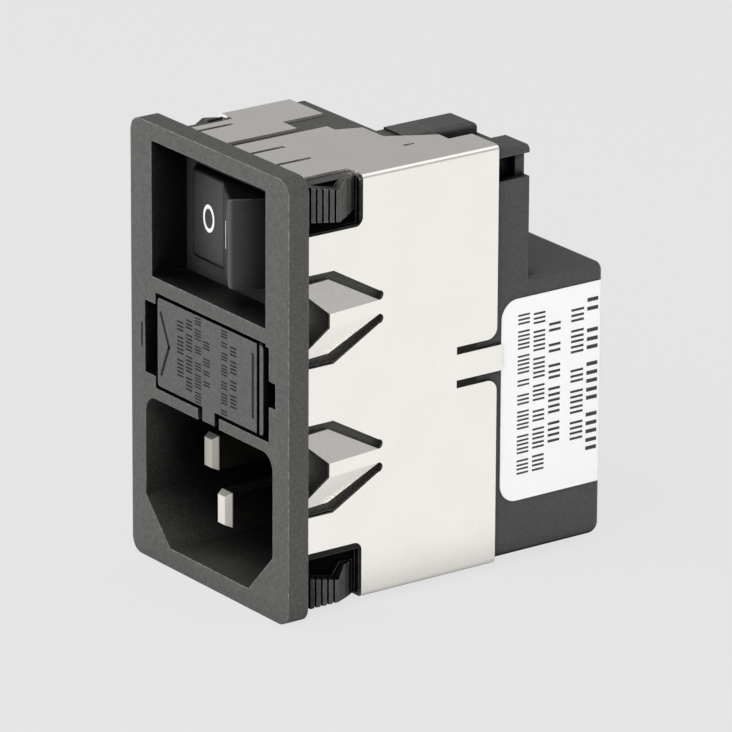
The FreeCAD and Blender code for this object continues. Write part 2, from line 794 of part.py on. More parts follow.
def make_side_cuts():
    """Latch notches, tongue windows and tab slits in the right wall."""
    upper = "shield_top - latch_notch_drop"
    lower = "shield_low + lower_notch_rise"
    cuts = [make_latch_notch("upper_notch", upper, "shield_top + overrun", upper),
            make_latch_notch("lower_notch", "shield_low - overrun", lower, lower),
            make_tongue_window("upper_window", "tongue_offset"),
            make_tongue_window("lower_window", "-tongue_offset")]
    for name, low in (("upper", "tab_half - tab_drop"), ("lower", "-tab_half - tab_drop - tab_slit")):
        cuts.append(box(name + "_tab_slit", ("shield_in - overrun", "shield_half + overrun"),
                        ("shield_length - tab_length", "shield_length + overrun"),
                        (low, f"{low} + tab_slit")))
    return cuts


def make_shield():
    """Folded sheet with latch notches, tongues, flaps and a rear tab on each side."""
    outer = box("shield_outer", ("-shield_half", "shield_half"), ("-seat_rebate + body_gap", "shield_length"),
                ("shield_low", "shield_top"))
    outer_round = softened("shield_outer_round", outer, "shield_bend", lambda edge: along(edge, "y"))
    inner = box("shield_inner", ("-shield_in", "shield_in"), ("-2 * overrun", "shield_length + overrun"),
                ("shield_low + sheet", "shield_top - sheet"))
    inner_round = softened("shield_inner_round", inner, "shield_bend - sheet", lambda edge: along(edge, "y"))
    sleeve = cut("shield_sleeve", outer_round, [inner_round])
    sides = make_side_cuts()
    sides += [mirrored(side.Name + "_left", side) for side in sides]
    folded = cut("shield_cut", sleeve, make_flap_cuts() + sides)
    rear = value("shield_length")
    wall = value("shield_half - sheet / 2")
    ends = [value("tab_half - tab_drop + tab_slit"), value("-tab_half - tab_drop - tab_slit")]

    def rear_corner(edge):
        on_wall = any(near(edge, x=place, y=rear) for place in (wall, -wall))
        return along(edge, "x") and on_wall and any(near(edge, z=end) for end in ends)

    trimmed = softened("shield_trim", folded, "shield_corner", rear_corner)
    tongues = [make_tongue("upper_tongue", "tongue_offset"), make_tongue("lower_tongue", "-tongue_offset"),
               box("rear_tab", ("shield_in", "shield_half"),
                   ("shield_length - overlap", "shield_length + tab_reach"),
                   around("-tab_drop", "2 * tab_half"))]
    tongues += [mirrored(tongue.Name + "_left", tongue) for tongue in tongues]
    keep("shield", fused("shield", [trimmed] + tongues))


# Rear case: a stepped shell that closes the back and holds the filter.
def make_case_block(name, grow):
    """Outer form of the case's lower step, grown outwards by a thickness for the label."""
    low = box(name + "_low", around(0, "2 * body_half", grow), ("body_length", f"case_end + {grow}"),
              (f"body_low - {grow}", f"case_step + {grow}"))
    end = value(f"case_end + {grow}")
    rear = softened(name + "_low_rear", low, f"case_edge + {grow}",
                    lambda edge: along(edge, "x") and near(edge, y=end))
    base = value(f"body_low - {grow}")
    return softened(name + "_low_round", rear, f"body_edge + {grow}",
                    lambda edge: along(edge, "y") and near(edge, z=base))


def make_case_tower():
    """Tower on the right of the case, with a saddle between its rib and its cap."""
    upper = box("case_upper", ("rib_left", "body_half"), ("body_length", "upper_end"),
                ("case_step - case_wall", "body_top - cap_drop"))
    side = value("body_half")
    roof = value("body_top - cap_drop")
    upper_round = softened("case_upper_round", upper, "body_edge",
                           lambda edge: along(edge, "y") and near(edge, x=side, z=roof))
    open_top = ("body_top - tower_drop", "body_top + overrun")
    saddle = box("case_saddle", ("rib_right - overlap", "body_half - cap_width"),
                 ("body_length - overrun", "upper_end + overrun"), open_top)
    step = box("case_rib_step", ("rib_left - overrun", "rib_right"),
               ("upper_end - rib_short", "upper_end + overrun"), open_top)
    rib = make_rib("case_rib", "body_length", "upper_end - rib_short", True)
    return fused("case_tower", [cut("case_tower_block", upper_round, [saddle, step]), rib])


def make_rear_case():
    """Shell with a tower, an earth tab slot, a side recess and ledges for the board."""
    solid = fused("case_solid", [make_case_block("case", "0"), make_case_tower()])
    name, x, width, z = blade_places()[2]
    tools = [
        box("case_room_low", ("-chamber_half", "chamber_half"),
            ("body_length - overrun", "case_end - case_wall"),
            ("body_low + case_wall", "case_step - case_wall")),
        box("case_room_high", ("rib_left + case_wall", "chamber_half"),
            ("body_length - overrun", "upper_end - case_wall"),
            ("case_step - 2 * case_wall", "body_top - tower_drop - case_wall")),
        box(name + "_wall_slot", around(x, width, "body_gap"),
            around("upper_end", "2 * case_wall", "overrun"), around(z, "blade_thick", "body_gap")),
    ]
    shell = cut("case_shell", solid, tools)
    ledge = box("board_ledge", ("chamber_half - ledge", "chamber_half + overlap"),
                ("board_back", "board_back + ledge_length"), ("board_low", "board_top"))
    wall = box("slot_wall", ("body_half - case_slot_depth - case_wall", "body_half - overlap"),
               ("body_length", "upper_end - overlap"), ("case_slot_low - case_wall", "body_top - tower_drop"))
    tall = ("case_slot_low", "case_slot_high")
    outside = "body_half + overrun"
    recesses = [box("slot_deep", ("body_half - case_slot_depth", outside),
                    ("shield_length - case_slot_start", "upper_end - case_post"), tall),
                box("slot_shallow", ("body_half - case_slot_depth / 2", outside),
                    ("upper_end - case_post - overlap", "upper_end + overrun"), tall)]
    ribbed = fused("case_ribbed", [shell, ledge, mirrored("board_ledge_left", ledge), wall])
    keep("rear_case", cut("rear_case", ribbed, recesses))


def make_label():
    """Sticker on the right of the case, carried round the rear edge."""
    skin = make_case_block("label_skin", "label_sheet")
    core = make_case_block("label_core", "0")
    patch = box("label_patch", ("body_half - label_wrap", "body_half + overrun"),
                ("label_front", "case_end + overrun"), ("label_low", "label_top"))
    front = value("label_front")
    patch_round = softened("label_patch_round", patch, "label_corner",
                           lambda edge: along(edge, "x") and near(edge, y=front))
    keep("label", cut("label", common("label_sheet_part", skin, patch_round), [core]))


# Switch: housing with a bezel, base, rocker, plungers, levers and contacts.
def make_switch_case():
    """Switch housing behind the well and the base that closes it."""
    wide = ("-unit_half", "unit_half")
    tall = ("unit_low", "unit_top")
    outer = box("switch_block", wide, ("well_floor", "base_front"), tall)
    room = box("switch_room", around(0, "2 * unit_half", "-case_wall"),
               ("well_floor + case_wall", "base_front + overrun"),
               ("unit_low + case_wall", "unit_top - case_wall"))
    mouth = box("rocker_mouth", ("-rocker_opening", "rocker_opening"),
                ("well_floor - overrun", "well_floor + case_wall + overrun"),
                around("switch_z", "rocker_height", "rocker_gap"))
    bearing = rod("rocker_bearing", "z", ("0", "pivot_y"), "unit_low - overrun", "unit_top + overrun",
                  "trunnion_radius + running_gap")
    keep("switch_housing", cut("switch_housing", outer, [room, mouth, bearing]))
    plate = box("base_plate", wide, ("base_front", "base_back"), tall)
    through = ("base_front - overrun", "base_back + overrun")
    slots = []
    for pole in ("pole_upper", "pole_lower"):
        slots.append(box(pole + "_blade_slot", around("-rivet_place", "blade_neck", "body_gap"), through,
                         around(pole, "blade_thick", "body_gap")))
        slots.append(box(pole + "_tail_slot", around(0, "tail_width", "body_gap"), through,
                         around(pole, "tail_height", "body_gap")))
    keep("switch_base", cut("switch_base", plate, slots))


def turned(points):
    """Rocker points (u to the right, v to the front of the pivot) as X and Y at rest."""
    return [(f"({u}) * cos(rocker_throw) - ({v}) * sin(rocker_throw)",
             f"pivot_y - (({u}) * sin(rocker_throw) + ({v}) * cos(rocker_throw))") for u, v in points]


def stand_on_rocker(piece, low, z):
    """Turn a piece made along Z to the rocker's own front axis and set its foot there."""
    lean = FreeCAD.Rotation(FreeCAD.Vector(0, 0, 1), -value("rocker_throw"))
    forward = FreeCAD.Rotation(FreeCAD.Vector(1, 0, 0), 90)
    piece.Placement = FreeCAD.Placement(FreeCAD.Vector(), lean.multiply(forward))
    (x, y), = turned([("0", low)])
    for axis, text in (("x", x), ("y", y), ("z", z)):
        piece.setExpression(f".Placement.Base.{axis}", bound(text))


def make_rocker():
    """Rocker with a shallow vee front, drafted flanks and a barrel that holds the plungers."""
    half = [("rocker_tip_u", "rocker_tip_v"), ("rocker_tip_u + rocker_flank", "rocker_skirt"),
            ("barrel_half", "rocker_skirt - barrel_step"), ("barrel_half", "-barrel_length")]
    right = [("0", "rocker_reach")] + half
    left = [(f"-({u})", v) for u, v in reversed(half)]
    block = prism("rocker_block", "z", turned(right + left), "rocker_low", "rocker_top")
    middle_v = "(rocker_reach + rocker_tip_v) / 2"
    rims = turned([half[0], left[-1], ("rocker_tip_u / 2", middle_v), ("-rocker_tip_u / 2", middle_v)])
    places = [(value(x), value(y)) for x, y in rims]
    block_round = softened("rocker_block_round", block, "rocker_edge",
                           lambda edge: any(near(edge, x=x, y=y) for x, y in places))
    centre = ("0", "pivot_y")
    pieces = [block_round,
              rod("lower_trunnion", "z", centre, "unit_low + trunnion_set", "rocker_low + overlap",
                  "trunnion_radius"),
              rod("upper_trunnion", "z", centre, "rocker_top - overlap", "unit_top - trunnion_set",
                  "trunnion_radius")]
    bores = []
    for pole in ("pole_upper", "pole_lower"):
        bore = doc.addObject("Part::Cylinder", pole + "_bore")
        bore.setExpression("Radius", bound("plunger_radius + running_gap"))
        bore.setExpression("Height", bound("plunger_bore + overrun"))
        stand_on_rocker(bore, "-barrel_length - overrun", pole)
        bores.append(bore)
    keep("rocker", cut("rocker", fused("rocker_solid", pieces), bores))


def make_plunger(name, z):
    """Plunger with a round nose that slides in the rocker's bore."""
    nose = "plunger_radius / 2"
    head = "plunger_length - barrel_length + plunger_guide"
    points = [("0", "0"), (nose, "0"), ("plunger_radius", nose), ("plunger_radius", head), ("0", head)]
    body = revolved_body(name, points)
    stand_on_rocker(body, "-plunger_length", z)
    keep(name, body)


def make_plunger_spring(name, z):
    """Coil of square wire between the plunger's head and the end of the bore."""
    coil = "plunger_radius - spring_wire - body_gap"
    room = "plunger_bore - plunger_guide - 2 * body_gap - 2 * spring_wire"
    helix = doc.addObject("Part::Helix", name + "_path")
    helix.setExpression("Radius", bound(coil))
    helix.setExpression("Height", bound(room))
    helix.setExpression("Pitch", bound(f"({room}) / spring_turns"))
    low, high = around(coil, "2 * spring_wire")
    wire = section(name + "_wire", "y", 0, [(low, "-spring_wire"), (high, "-spring_wire"),
                                            (high, "spring_wire"), (low, "spring_wire")])
    doc.recompute()
    spring = doc.addObject("Part::Sweep", name)
    spring.Sections = [wire]
    spring.Spine = (helix, ["Edge1"])
    spring.Solid = True
    spring.Frenet = True
    stand_on_rocker(spring, "plunger_guide - barrel_length + body_gap + spring_wire", z)
    keep(name, spring)


def make_lever(name, z):
    """See-saw contact lever with a pivot bead and a contact rivet, tilted to its open side."""
    tall = around(z, "lever_width")
    back = "lever_front + lever_sheet"
    strip = box(name + "_strip", ("-lever_arm", "lever_arm"), ("lever_front", back), tall)
    bead = rod(name + "_bead", "z", ("0", "lever_y"), *tall, "lever_bead")
    rivet = rod(name + "_rivet", "y", ("-rivet_place", z), f"{back} - overlap", f"{back} + rivet_height",
                "rivet_radius")
    flat = fused(name + "_flat", [strip, bead, rivet])
    pivot = FreeCAD.Vector(0, value("lever_y"), 0)
    spin = FreeCAD.Rotation(FreeCAD.Vector(0, 0, 1), value("lever_tilt"))
    flat.Placement = FreeCAD.Placement(FreeCAD.Vector(), spin, pivot)
    keep(name, flat)


def make_pivot_contact(name, z):
    """Post on the base with a round cradle for the lever's bead and a tail through the base."""
    post = box(name + "_post", ("-cradle_half", "cradle_half"), ("lever_y + cradle_lip", "base_front"),
               around(z, "lever_width"))
    tail = box(name + "_tail", around(0, "tail_width"), ("base_front - overlap", "base_back + tail_out"),
               around(z, "tail_height"))
    groove = rod(name + "_groove", "z", ("0", "lever_y"), *around(z, "2 * lever_width"),
                 "lever_bead + cradle_gap")
    keep(name, cut(name, fused(name + "_solid", [post, tail]), [groove]))


def blade_places():
    """Names, X middles, neck widths and Z places of the line, neutral and earth tabs."""
    return (("line_terminal", "-rivet_place", "blade_neck", "pole_upper"),
            ("neutral_terminal", "-rivet_place", "blade_neck", "pole_lower"),
            ("earth_terminal", "earth_tab_place", "earth_tab_width", "switch_z"))


def tab_outline(x, width, start, end):
    """Push-on tab outline in X and Y with its two end corners cut back."""
    nick = f"{width} / 6"
    left, right = around(x, width)
    return [(left, start), (right, start), (right, f"{end} - {nick}"), (f"{right} - {nick}", end),
            (f"{left} + {nick}", end), (left, f"{end} - {nick}")]


def make_terminals():
    """Line and neutral blades from the fixed contacts to the rear tabs, and the earth tab."""
    for name, x, width, z in blade_places()[:2]:
        thick = around(z, "blade_thick")
        neck = box(name + "_neck", around(x, width),
                   ("contact_y + button_height / 2", "base_back + 2 * tab_start"), thick)
        outline = tab_outline(x, "tab_width", "base_back + tab_start", "base_back + tab_out")
        tab = prism(name + "_tab", "z", outline, *thick)
        button = rod(name + "_button", "y", (x, z), "contact_y", "contact_y + button_height", "rivet_radius")
        keep(name, fused(name, [neck, tab, button]))
    name, x, width, z = blade_places()[2]
    thick = around(z, "blade_thick")
    tab = prism(name + "_tab", "z", tab_outline(x, width, "board_back", "upper_end + earth_tab_out"), *thick)
    leg = box(name + "_leg", around(x, "earth_leg"), ("board_back", "board_back + blade_thick"),
              ("board_top - earth_leg", f"{z} + blade_thick / 2"))
    keep(name, fused(name, [tab, leg]))


# Inlet blades: flat pins with tapered tips and tails that reach the filter board.
def make_pins():
    """Line, neutral and earth pins."""
    shank_end = "inlet_floor + inlet_back + pin_shank"
    for name, x, z, depth in pin_places():
        front = f"{depth} - flange_thick"
        shoulder = f"{front} + pin_taper"
        wide = around(x, "pin_width")
        tall = around(z, "pin_height")
        tip = wedge(name + "_tip", wide, (front, shoulder), tall, "pin_nose")
        blade = box(name + "_blade", wide, (shoulder, shank_end), tall)
        tail = box(name + "_tail", around(x, "tail_width"), (f"{shank_end} - overlap", "tail_end"),
                   around(z, "tail_height"))
        keep(name, fused(name, [tip, blade, tail]))


# Fuse drawer with two cartridge fuses, and the contacts in the bay.
def make_drawer():
    """Drawer front with its key and a tray with two troughs."""
    front = ("-flange_thick", "drawer_plate - flange_thick")
    depth = ("drawer_plate - flange_thick - overlap", "fuse_end + tray_wall")
    plate = box("drawer_front", ("-drawer_left", "drawer_right"), front,
                ("bay_low + drawer_gap", "bay_top - drawer_gap"))
    plate_round = softened("drawer_front_round", plate, "drawer_corner", lambda edge: along(edge, "y"))
    key = box("drawer_key_bar", around(0, "drawer_key"), front,
              ("bay_low - drawer_key_drop", "bay_low + drawer_gap + overlap"))
    tray = box("drawer_tray", ("-tray_half", "tray_half"), depth, ("tray_low", "fuse_z"))
    rails = box("drawer_rails", around(0, "2 * bay_side", "-slide_gap"), depth,
                ("tray_low", "tray_low + rail_height"))
    groove = box("drawer_groove_cut", around("drawer_groove", "groove_width"),
                 ("-flange_thick - overrun", "groove_depth - flange_thick"), ("bay_low", "bay_top"))
    troughs = [rod(f"{side}_trough", "y", (place, "fuse_z"), "fuse_start - fuse_gap", "fuse_end + fuse_gap",
                   "fuse_radius + fuse_gap")
               for side, place in (("right", "fuse_pitch / 2"), ("left", "-fuse_pitch / 2"))]
    solid = fused("drawer_solid", [plate_round, key, tray, rails])
    keep("fuse_drawer", cut("fuse_drawer", solid, [groove] + troughs))


def make_fuse(side, x):
    """Glass cartridge fuse: tube, two end caps and the wire between them."""
    centre = (x, "fuse_z")
    glass_low = "fuse_start + cap_end"
    glass_high = "fuse_end - cap_end"
    tube = rod(f"{side}_tube_outer", "y", centre, glass_low, glass_high, "fuse_glass")
    bore = rod(f"{side}_tube_bore", "y", centre, "fuse_start", "fuse_end", "fuse_glass - fuse_glass_wall")
    keep(f"{side}_fuse_tube", cut(f"{side}_fuse_tube", tube, [bore]))
    inside_low = f"{glass_low} - body_gap"
    inside_high = f"{glass_high} + body_gap"
    hollow = rod(f"{side}_cap_bore", "y", centre, inside_low, inside_high, "fuse_glass + body_gap")
    caps = []
    for name, low, high in (("front", "fuse_start", "fuse_start + fuse_cap"),
                            ("rear", "fuse_end - fuse_cap", "fuse_end")):
        cap = rod(f"{side}_{name}_cap", "y", centre, low, high, "fuse_radius")
        caps.append(cut(f"{side}_{name}_cap_shell", cap, [hollow]))
    pair = doc.addObject("Part::Compound", f"{side}_fuse_caps")
    pair.Links = caps
    keep(f"{side}_fuse_caps", pair)
    keep(f"{side}_fuse_wire", rod(f"{side}_fuse_wire", "y", centre, inside_low, inside_high, "fuse_wire"))


def make_fuse_contacts():
    """Four sprung strips along the bay's roof, each bowed down to a fuse cap."""
    top = "bay_roof - body_gap"
    under = f"{top} - clip_sheet"
    touch = "fuse_z + fuse_radius + clip_gap"
    back = "body_length + clip_out"
    for name, x, y in clip_places():
        first, last = around(y, "clip_bow")
        low_first, low_last = around(y, "clip_bow / 4")
        points = [(first, top), (first, under), (low_first, touch), (low_last, touch), (last, under),
                  (back, under), (back, top), (f"{last} - clip_skew", top),
                  (f"{low_last} - clip_skew", f"{touch} + clip_sheet"),
                  (f"{low_first} + clip_skew", f"{touch} + clip_sheet"), (f"{first} + clip_skew", top)]
        keep(name, prism(name, "x", points, *around(x, "clip_width")))


# Filter parts on a board in the rear case.
def make_choke():
    """Ring core with a winding wrapped over each half of it."""
    centre = ("choke_place_x", "choke_place_z")
    core_low = "board_back + winding_wall"
    core_high = f"{core_low} + core_height"
    outer_high = f"{core_high} + winding_wall"
    through = (f"{core_low} - overrun", f"{core_high} + overrun")
    ring = rod("core_outer", "y", centre, core_low, core_high, "core_radius")
    hole = rod("core_hole", "y", centre, *through, "core_bore")
    keep("choke_core", cut("choke_core", ring, [hole]))
    room = rod("winding_room", "y", centre, f"{core_low} - body_gap", f"{core_high} + body_gap",
               "core_radius + body_gap")
    post = rod("winding_post", "y", centre, *through, "core_bore - body_gap")
    slot = cut("core_room", room, [post])
    eye = rod("winding_eye", "y", centre, "board_back - overrun", f"{outer_high} + overrun",
              "core_bore - winding_wall")
    for side, start in (("left", "180 - winding_spread"), ("right", "-winding_spread")):
        coil = rod(f"{side}_coil", "y", centre, "board_back", outer_high, "core_radius + winding_wall")
        coil.setExpression("Angle", bound("2 * winding_spread"))
        spin = FreeCAD.Rotation(FreeCAD.Vector(0, 1, 0), value(start)).multiply(TURNS["y"])
        coil.Placement = FreeCAD.Placement(coil.Placement.Base, spin)
        keep(f"{side}_choke_winding", cut(f"{side}_choke_winding", coil, [eye, slot]))


def make_filter():
    """Board with the capacitors and the discharge resistor."""
    board = box("board_plate", ("-board_half", "board_half"), ("board_front", "board_back"),
                ("board_low", "board_top"))
    holes = [box(name + "_board_hole", around(x, "tail_width", "body_gap"),
                 ("board_front - overrun", "board_back + overrun"), around(z, "tail_height", "body_gap"))
             for name, x, z, tip in pin_places()]
    keep("filter_board", cut("filter_board", board, holes))
    keep("x_capacitor", box("x_capacitor", around(0, "x_cap_width"),
                            ("board_back", "board_back + x_cap_length"),
                            ("board_low", "board_low + x_cap_height")))
    for name, sign in (("upper_y_capacitor", "+"), ("lower_y_capacitor", "-")):
        place = ("board_back + y_cap_radius", f"choke_place_z {sign} y_cap_pitch / 2")
        keep(name, rod(name, "x", place, *around("y_cap_place", "y_cap_width"), "y_cap_radius"))
    keep("discharge_resistor", rod("discharge_resistor", "x", ("board_back + resistor_radius", "pin_z"),
                                   *around(0, "resistor_length"), "resistor_radius"))


make_front_housing()
make_shield()
make_rear_case()
make_label()
make_switch_case()
make_rocker()
for pole in ("upper", "lower"):
    make_plunger(f"{pole}_plunger", f"pole_{pole}")
    make_plunger_spring(f"{pole}_plunger_spring", f"pole_{pole}")
    make_lever(f"{pole}_lever", f"pole_{pole}")
    make_pivot_contact(f"{pole}_pivot_contact", f"pole_{pole}")
make_terminals()
make_pins()
make_drawer()
make_fuse("left", "-fuse_pitch / 2")
make_fuse("right", "fuse_pitch / 2")
make_fuse_contacts()
make_choke()
make_filter()
doc.recompute()

failed = [item.Name for item in doc.Objects if "Invalid" in item.State or "Error" in item.State]
for name, piece in nodes.items():
    if piece.Shape.isNull() or not piece.Shape.isValid() or not piece.Shape.Solids:
        failed.append(name)
if failed:
    raise RuntimeError("these did not build: " + ", ".join(failed))

os.makedirs("parts", exist_ok=True)
for name, piece in nodes.items():
    piece.Shape.exportStep(os.path.join("parts", name + ".step"))
print(f"{len(nodes)} sub-parts written")
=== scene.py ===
import logging
import math
from dataclasses import dataclass, field, replace
from enum import Enum

import bmesh
import bpy
from mathutils import Matrix, Vector
from mathutils.bvhtree import BVHTree


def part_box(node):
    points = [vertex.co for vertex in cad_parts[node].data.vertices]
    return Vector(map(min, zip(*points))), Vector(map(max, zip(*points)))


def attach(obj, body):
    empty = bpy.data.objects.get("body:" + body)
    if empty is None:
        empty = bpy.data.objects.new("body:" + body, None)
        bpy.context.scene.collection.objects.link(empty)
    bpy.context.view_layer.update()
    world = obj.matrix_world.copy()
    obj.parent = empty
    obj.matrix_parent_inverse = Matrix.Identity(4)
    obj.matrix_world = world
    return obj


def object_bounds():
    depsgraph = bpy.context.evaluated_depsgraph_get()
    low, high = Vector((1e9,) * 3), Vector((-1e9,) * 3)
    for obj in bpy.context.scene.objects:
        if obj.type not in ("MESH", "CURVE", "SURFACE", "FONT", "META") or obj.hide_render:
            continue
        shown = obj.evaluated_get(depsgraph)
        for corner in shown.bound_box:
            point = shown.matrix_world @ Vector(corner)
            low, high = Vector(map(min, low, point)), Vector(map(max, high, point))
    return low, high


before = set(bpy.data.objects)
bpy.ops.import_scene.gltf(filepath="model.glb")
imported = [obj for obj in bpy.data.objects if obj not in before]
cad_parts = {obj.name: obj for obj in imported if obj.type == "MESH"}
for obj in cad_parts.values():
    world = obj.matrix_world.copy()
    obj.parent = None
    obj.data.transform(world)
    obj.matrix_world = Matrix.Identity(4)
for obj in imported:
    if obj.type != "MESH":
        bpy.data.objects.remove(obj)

# Power entry module: looks for the CAD frame, the painted and moulded marks, and the studio.
# Lengths are in millimetres here and become metres where they reach Blender.

log = logging.getLogger("power_entry_module")
MM = 0.001
CAD_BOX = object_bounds()

Socket = bpy.types.NodeSocket
Tree = bpy.types.NodeTree


class Side(Enum):
    """Half of the rocker that a painted mark sits on."""

    OFF = "ring"
    ON = "bar"


class Ray(Enum):
    """Kinds of ray that see the pale studio floor as a backdrop."""

    CAMERA = "Is Camera Ray"
    GLOSSY = "Is Glossy Ray"
    TRANSMISSION = "Is Transmission Ray"


def linear(code: str) -> tuple[float, float, float, float]:
    """Turn an sRGB hex colour into linear values.

    Args:
        code: Six hex digits after a hash sign.

    Returns:
        Linear red, green and blue with an alpha of 1.
    """
    parts = [int(code[place:place + 2], 16) / 255 for place in (1, 3, 5)]
    red, green, blue = [part / 12.92 if part <= 0.04045 else ((part + 0.055) / 1.055) ** 2.4
                        for part in parts]
    return red, green, blue, 1.0


def add(tree: Tree, kind: str, inputs: dict | None = None, **settings: object) -> bpy.types.Node:
    """Add a shader node, set it up and link it.

    Args:
        tree: Node tree that takes the node.
        kind: Name of the node's type.
        inputs: Socket name or number to a value, or to the output that feeds it.
        settings: Attributes of the node itself.

    Returns:
        The new node.
    """
    node = tree.nodes.new(kind)
    for name, setting in settings.items():
        setattr(node, name, setting)
    for socket, source in (inputs or {}).items():
        if isinstance(source, Socket):
            tree.links.new(source, node.inputs[socket])
        else:
            node.inputs[socket].default_value = source
    return node


def compute(tree: Tree, operation: str, *sources: Socket | float) -> Socket:
    """Add a math node.

    Args:
        tree: Node tree that takes the node.
        operation: What it does.
        sources: Values or outputs for its inputs, in order.

    Returns:
        Its result.
    """
    return add(tree, "ShaderNodeMath", dict(enumerate(sources)), operation=operation).outputs[0]


def spread(tree: Tree, value: Socket, ends: tuple[float, float], low: float = 0.0,
           high: float = 1.0) -> Socket:
    """Map a value from one range to another and hold it there.

    Args:
        tree: Node tree that takes the node.
        value: Value to map.
        ends: Values that become low and high.
        low: First end of the new range.
        high: Last end of the new range.

    Returns:
        The mapped value.
    """
    inputs = {"Value": value, "From Min": ends[0], "From Max": ends[1], "To Min": low, "To Max": high}
    return add(tree, "ShaderNodeMapRange", inputs).outputs["Result"]


def object_place(tree: Tree) -> Socket:
    """Object coordinates of the point that is shaded."""
    return add(tree, "ShaderNodeTexCoord").outputs["Object"]


def noise(tree: Tree, place: Socket, size: float, detail: float = 2.0, roughness: float = 0.5) -> Socket:
    """Add a cloudy pattern.

    Args:
        tree: Node tree that takes the node.
        place: Object coordinates.
        size: Size of its clouds in mm.
        detail: How many finer layers it has.
        roughness: How strong the finer layers are.

    Returns:
        The pattern's value.
    """
    inputs = {"Vector": place, "Scale": 1 / (size * MM), "Detail": detail, "Roughness": roughness}
    return add(tree, "ShaderNodeTexNoise", inputs).outputs["Fac"]


def blend(tree: Tree, factor: Socket, first: tuple, last: tuple) -> Socket:
    """Mix two linear colours.

    Args:
        tree: Node tree that takes the node.
        factor: Share of the last colour.
        first: Colour at 0.
        last: Colour at 1.

    Returns:
        The mixed colour.
    """
    inputs = {"Factor": factor, "A": first, "B": last}
    return add(tree, "ShaderNodeMix", inputs, data_type="RGBA").outputs["Result"]


def new_material(name: str) -> tuple[bpy.types.Material, Tree]:
    """Start a material with an empty node tree.

    Args:
        name: Name of the real material.

    Returns:
        The material and its tree.
    """
    material = bpy.data.materials.new(name)
    material.use_nodes = True
    material.node_tree.nodes.clear()
    return material, material.node_tree


def close_material(tree: Tree, shader: bpy.types.Node) -> None:
    """Link a shader to the material's output."""
    add(tree, "ShaderNodeOutputMaterial", {"Surface": shader.outputs[0]})


@dataclass(frozen=True)
class Slit:
    """Short upright slit in a moulding's front, painted as shade with no geometry, in mm: its X, width,
    ends along Z and the Y behind it.
    """

    place: float
    width: float
    low: float
    high: float
    behind: float


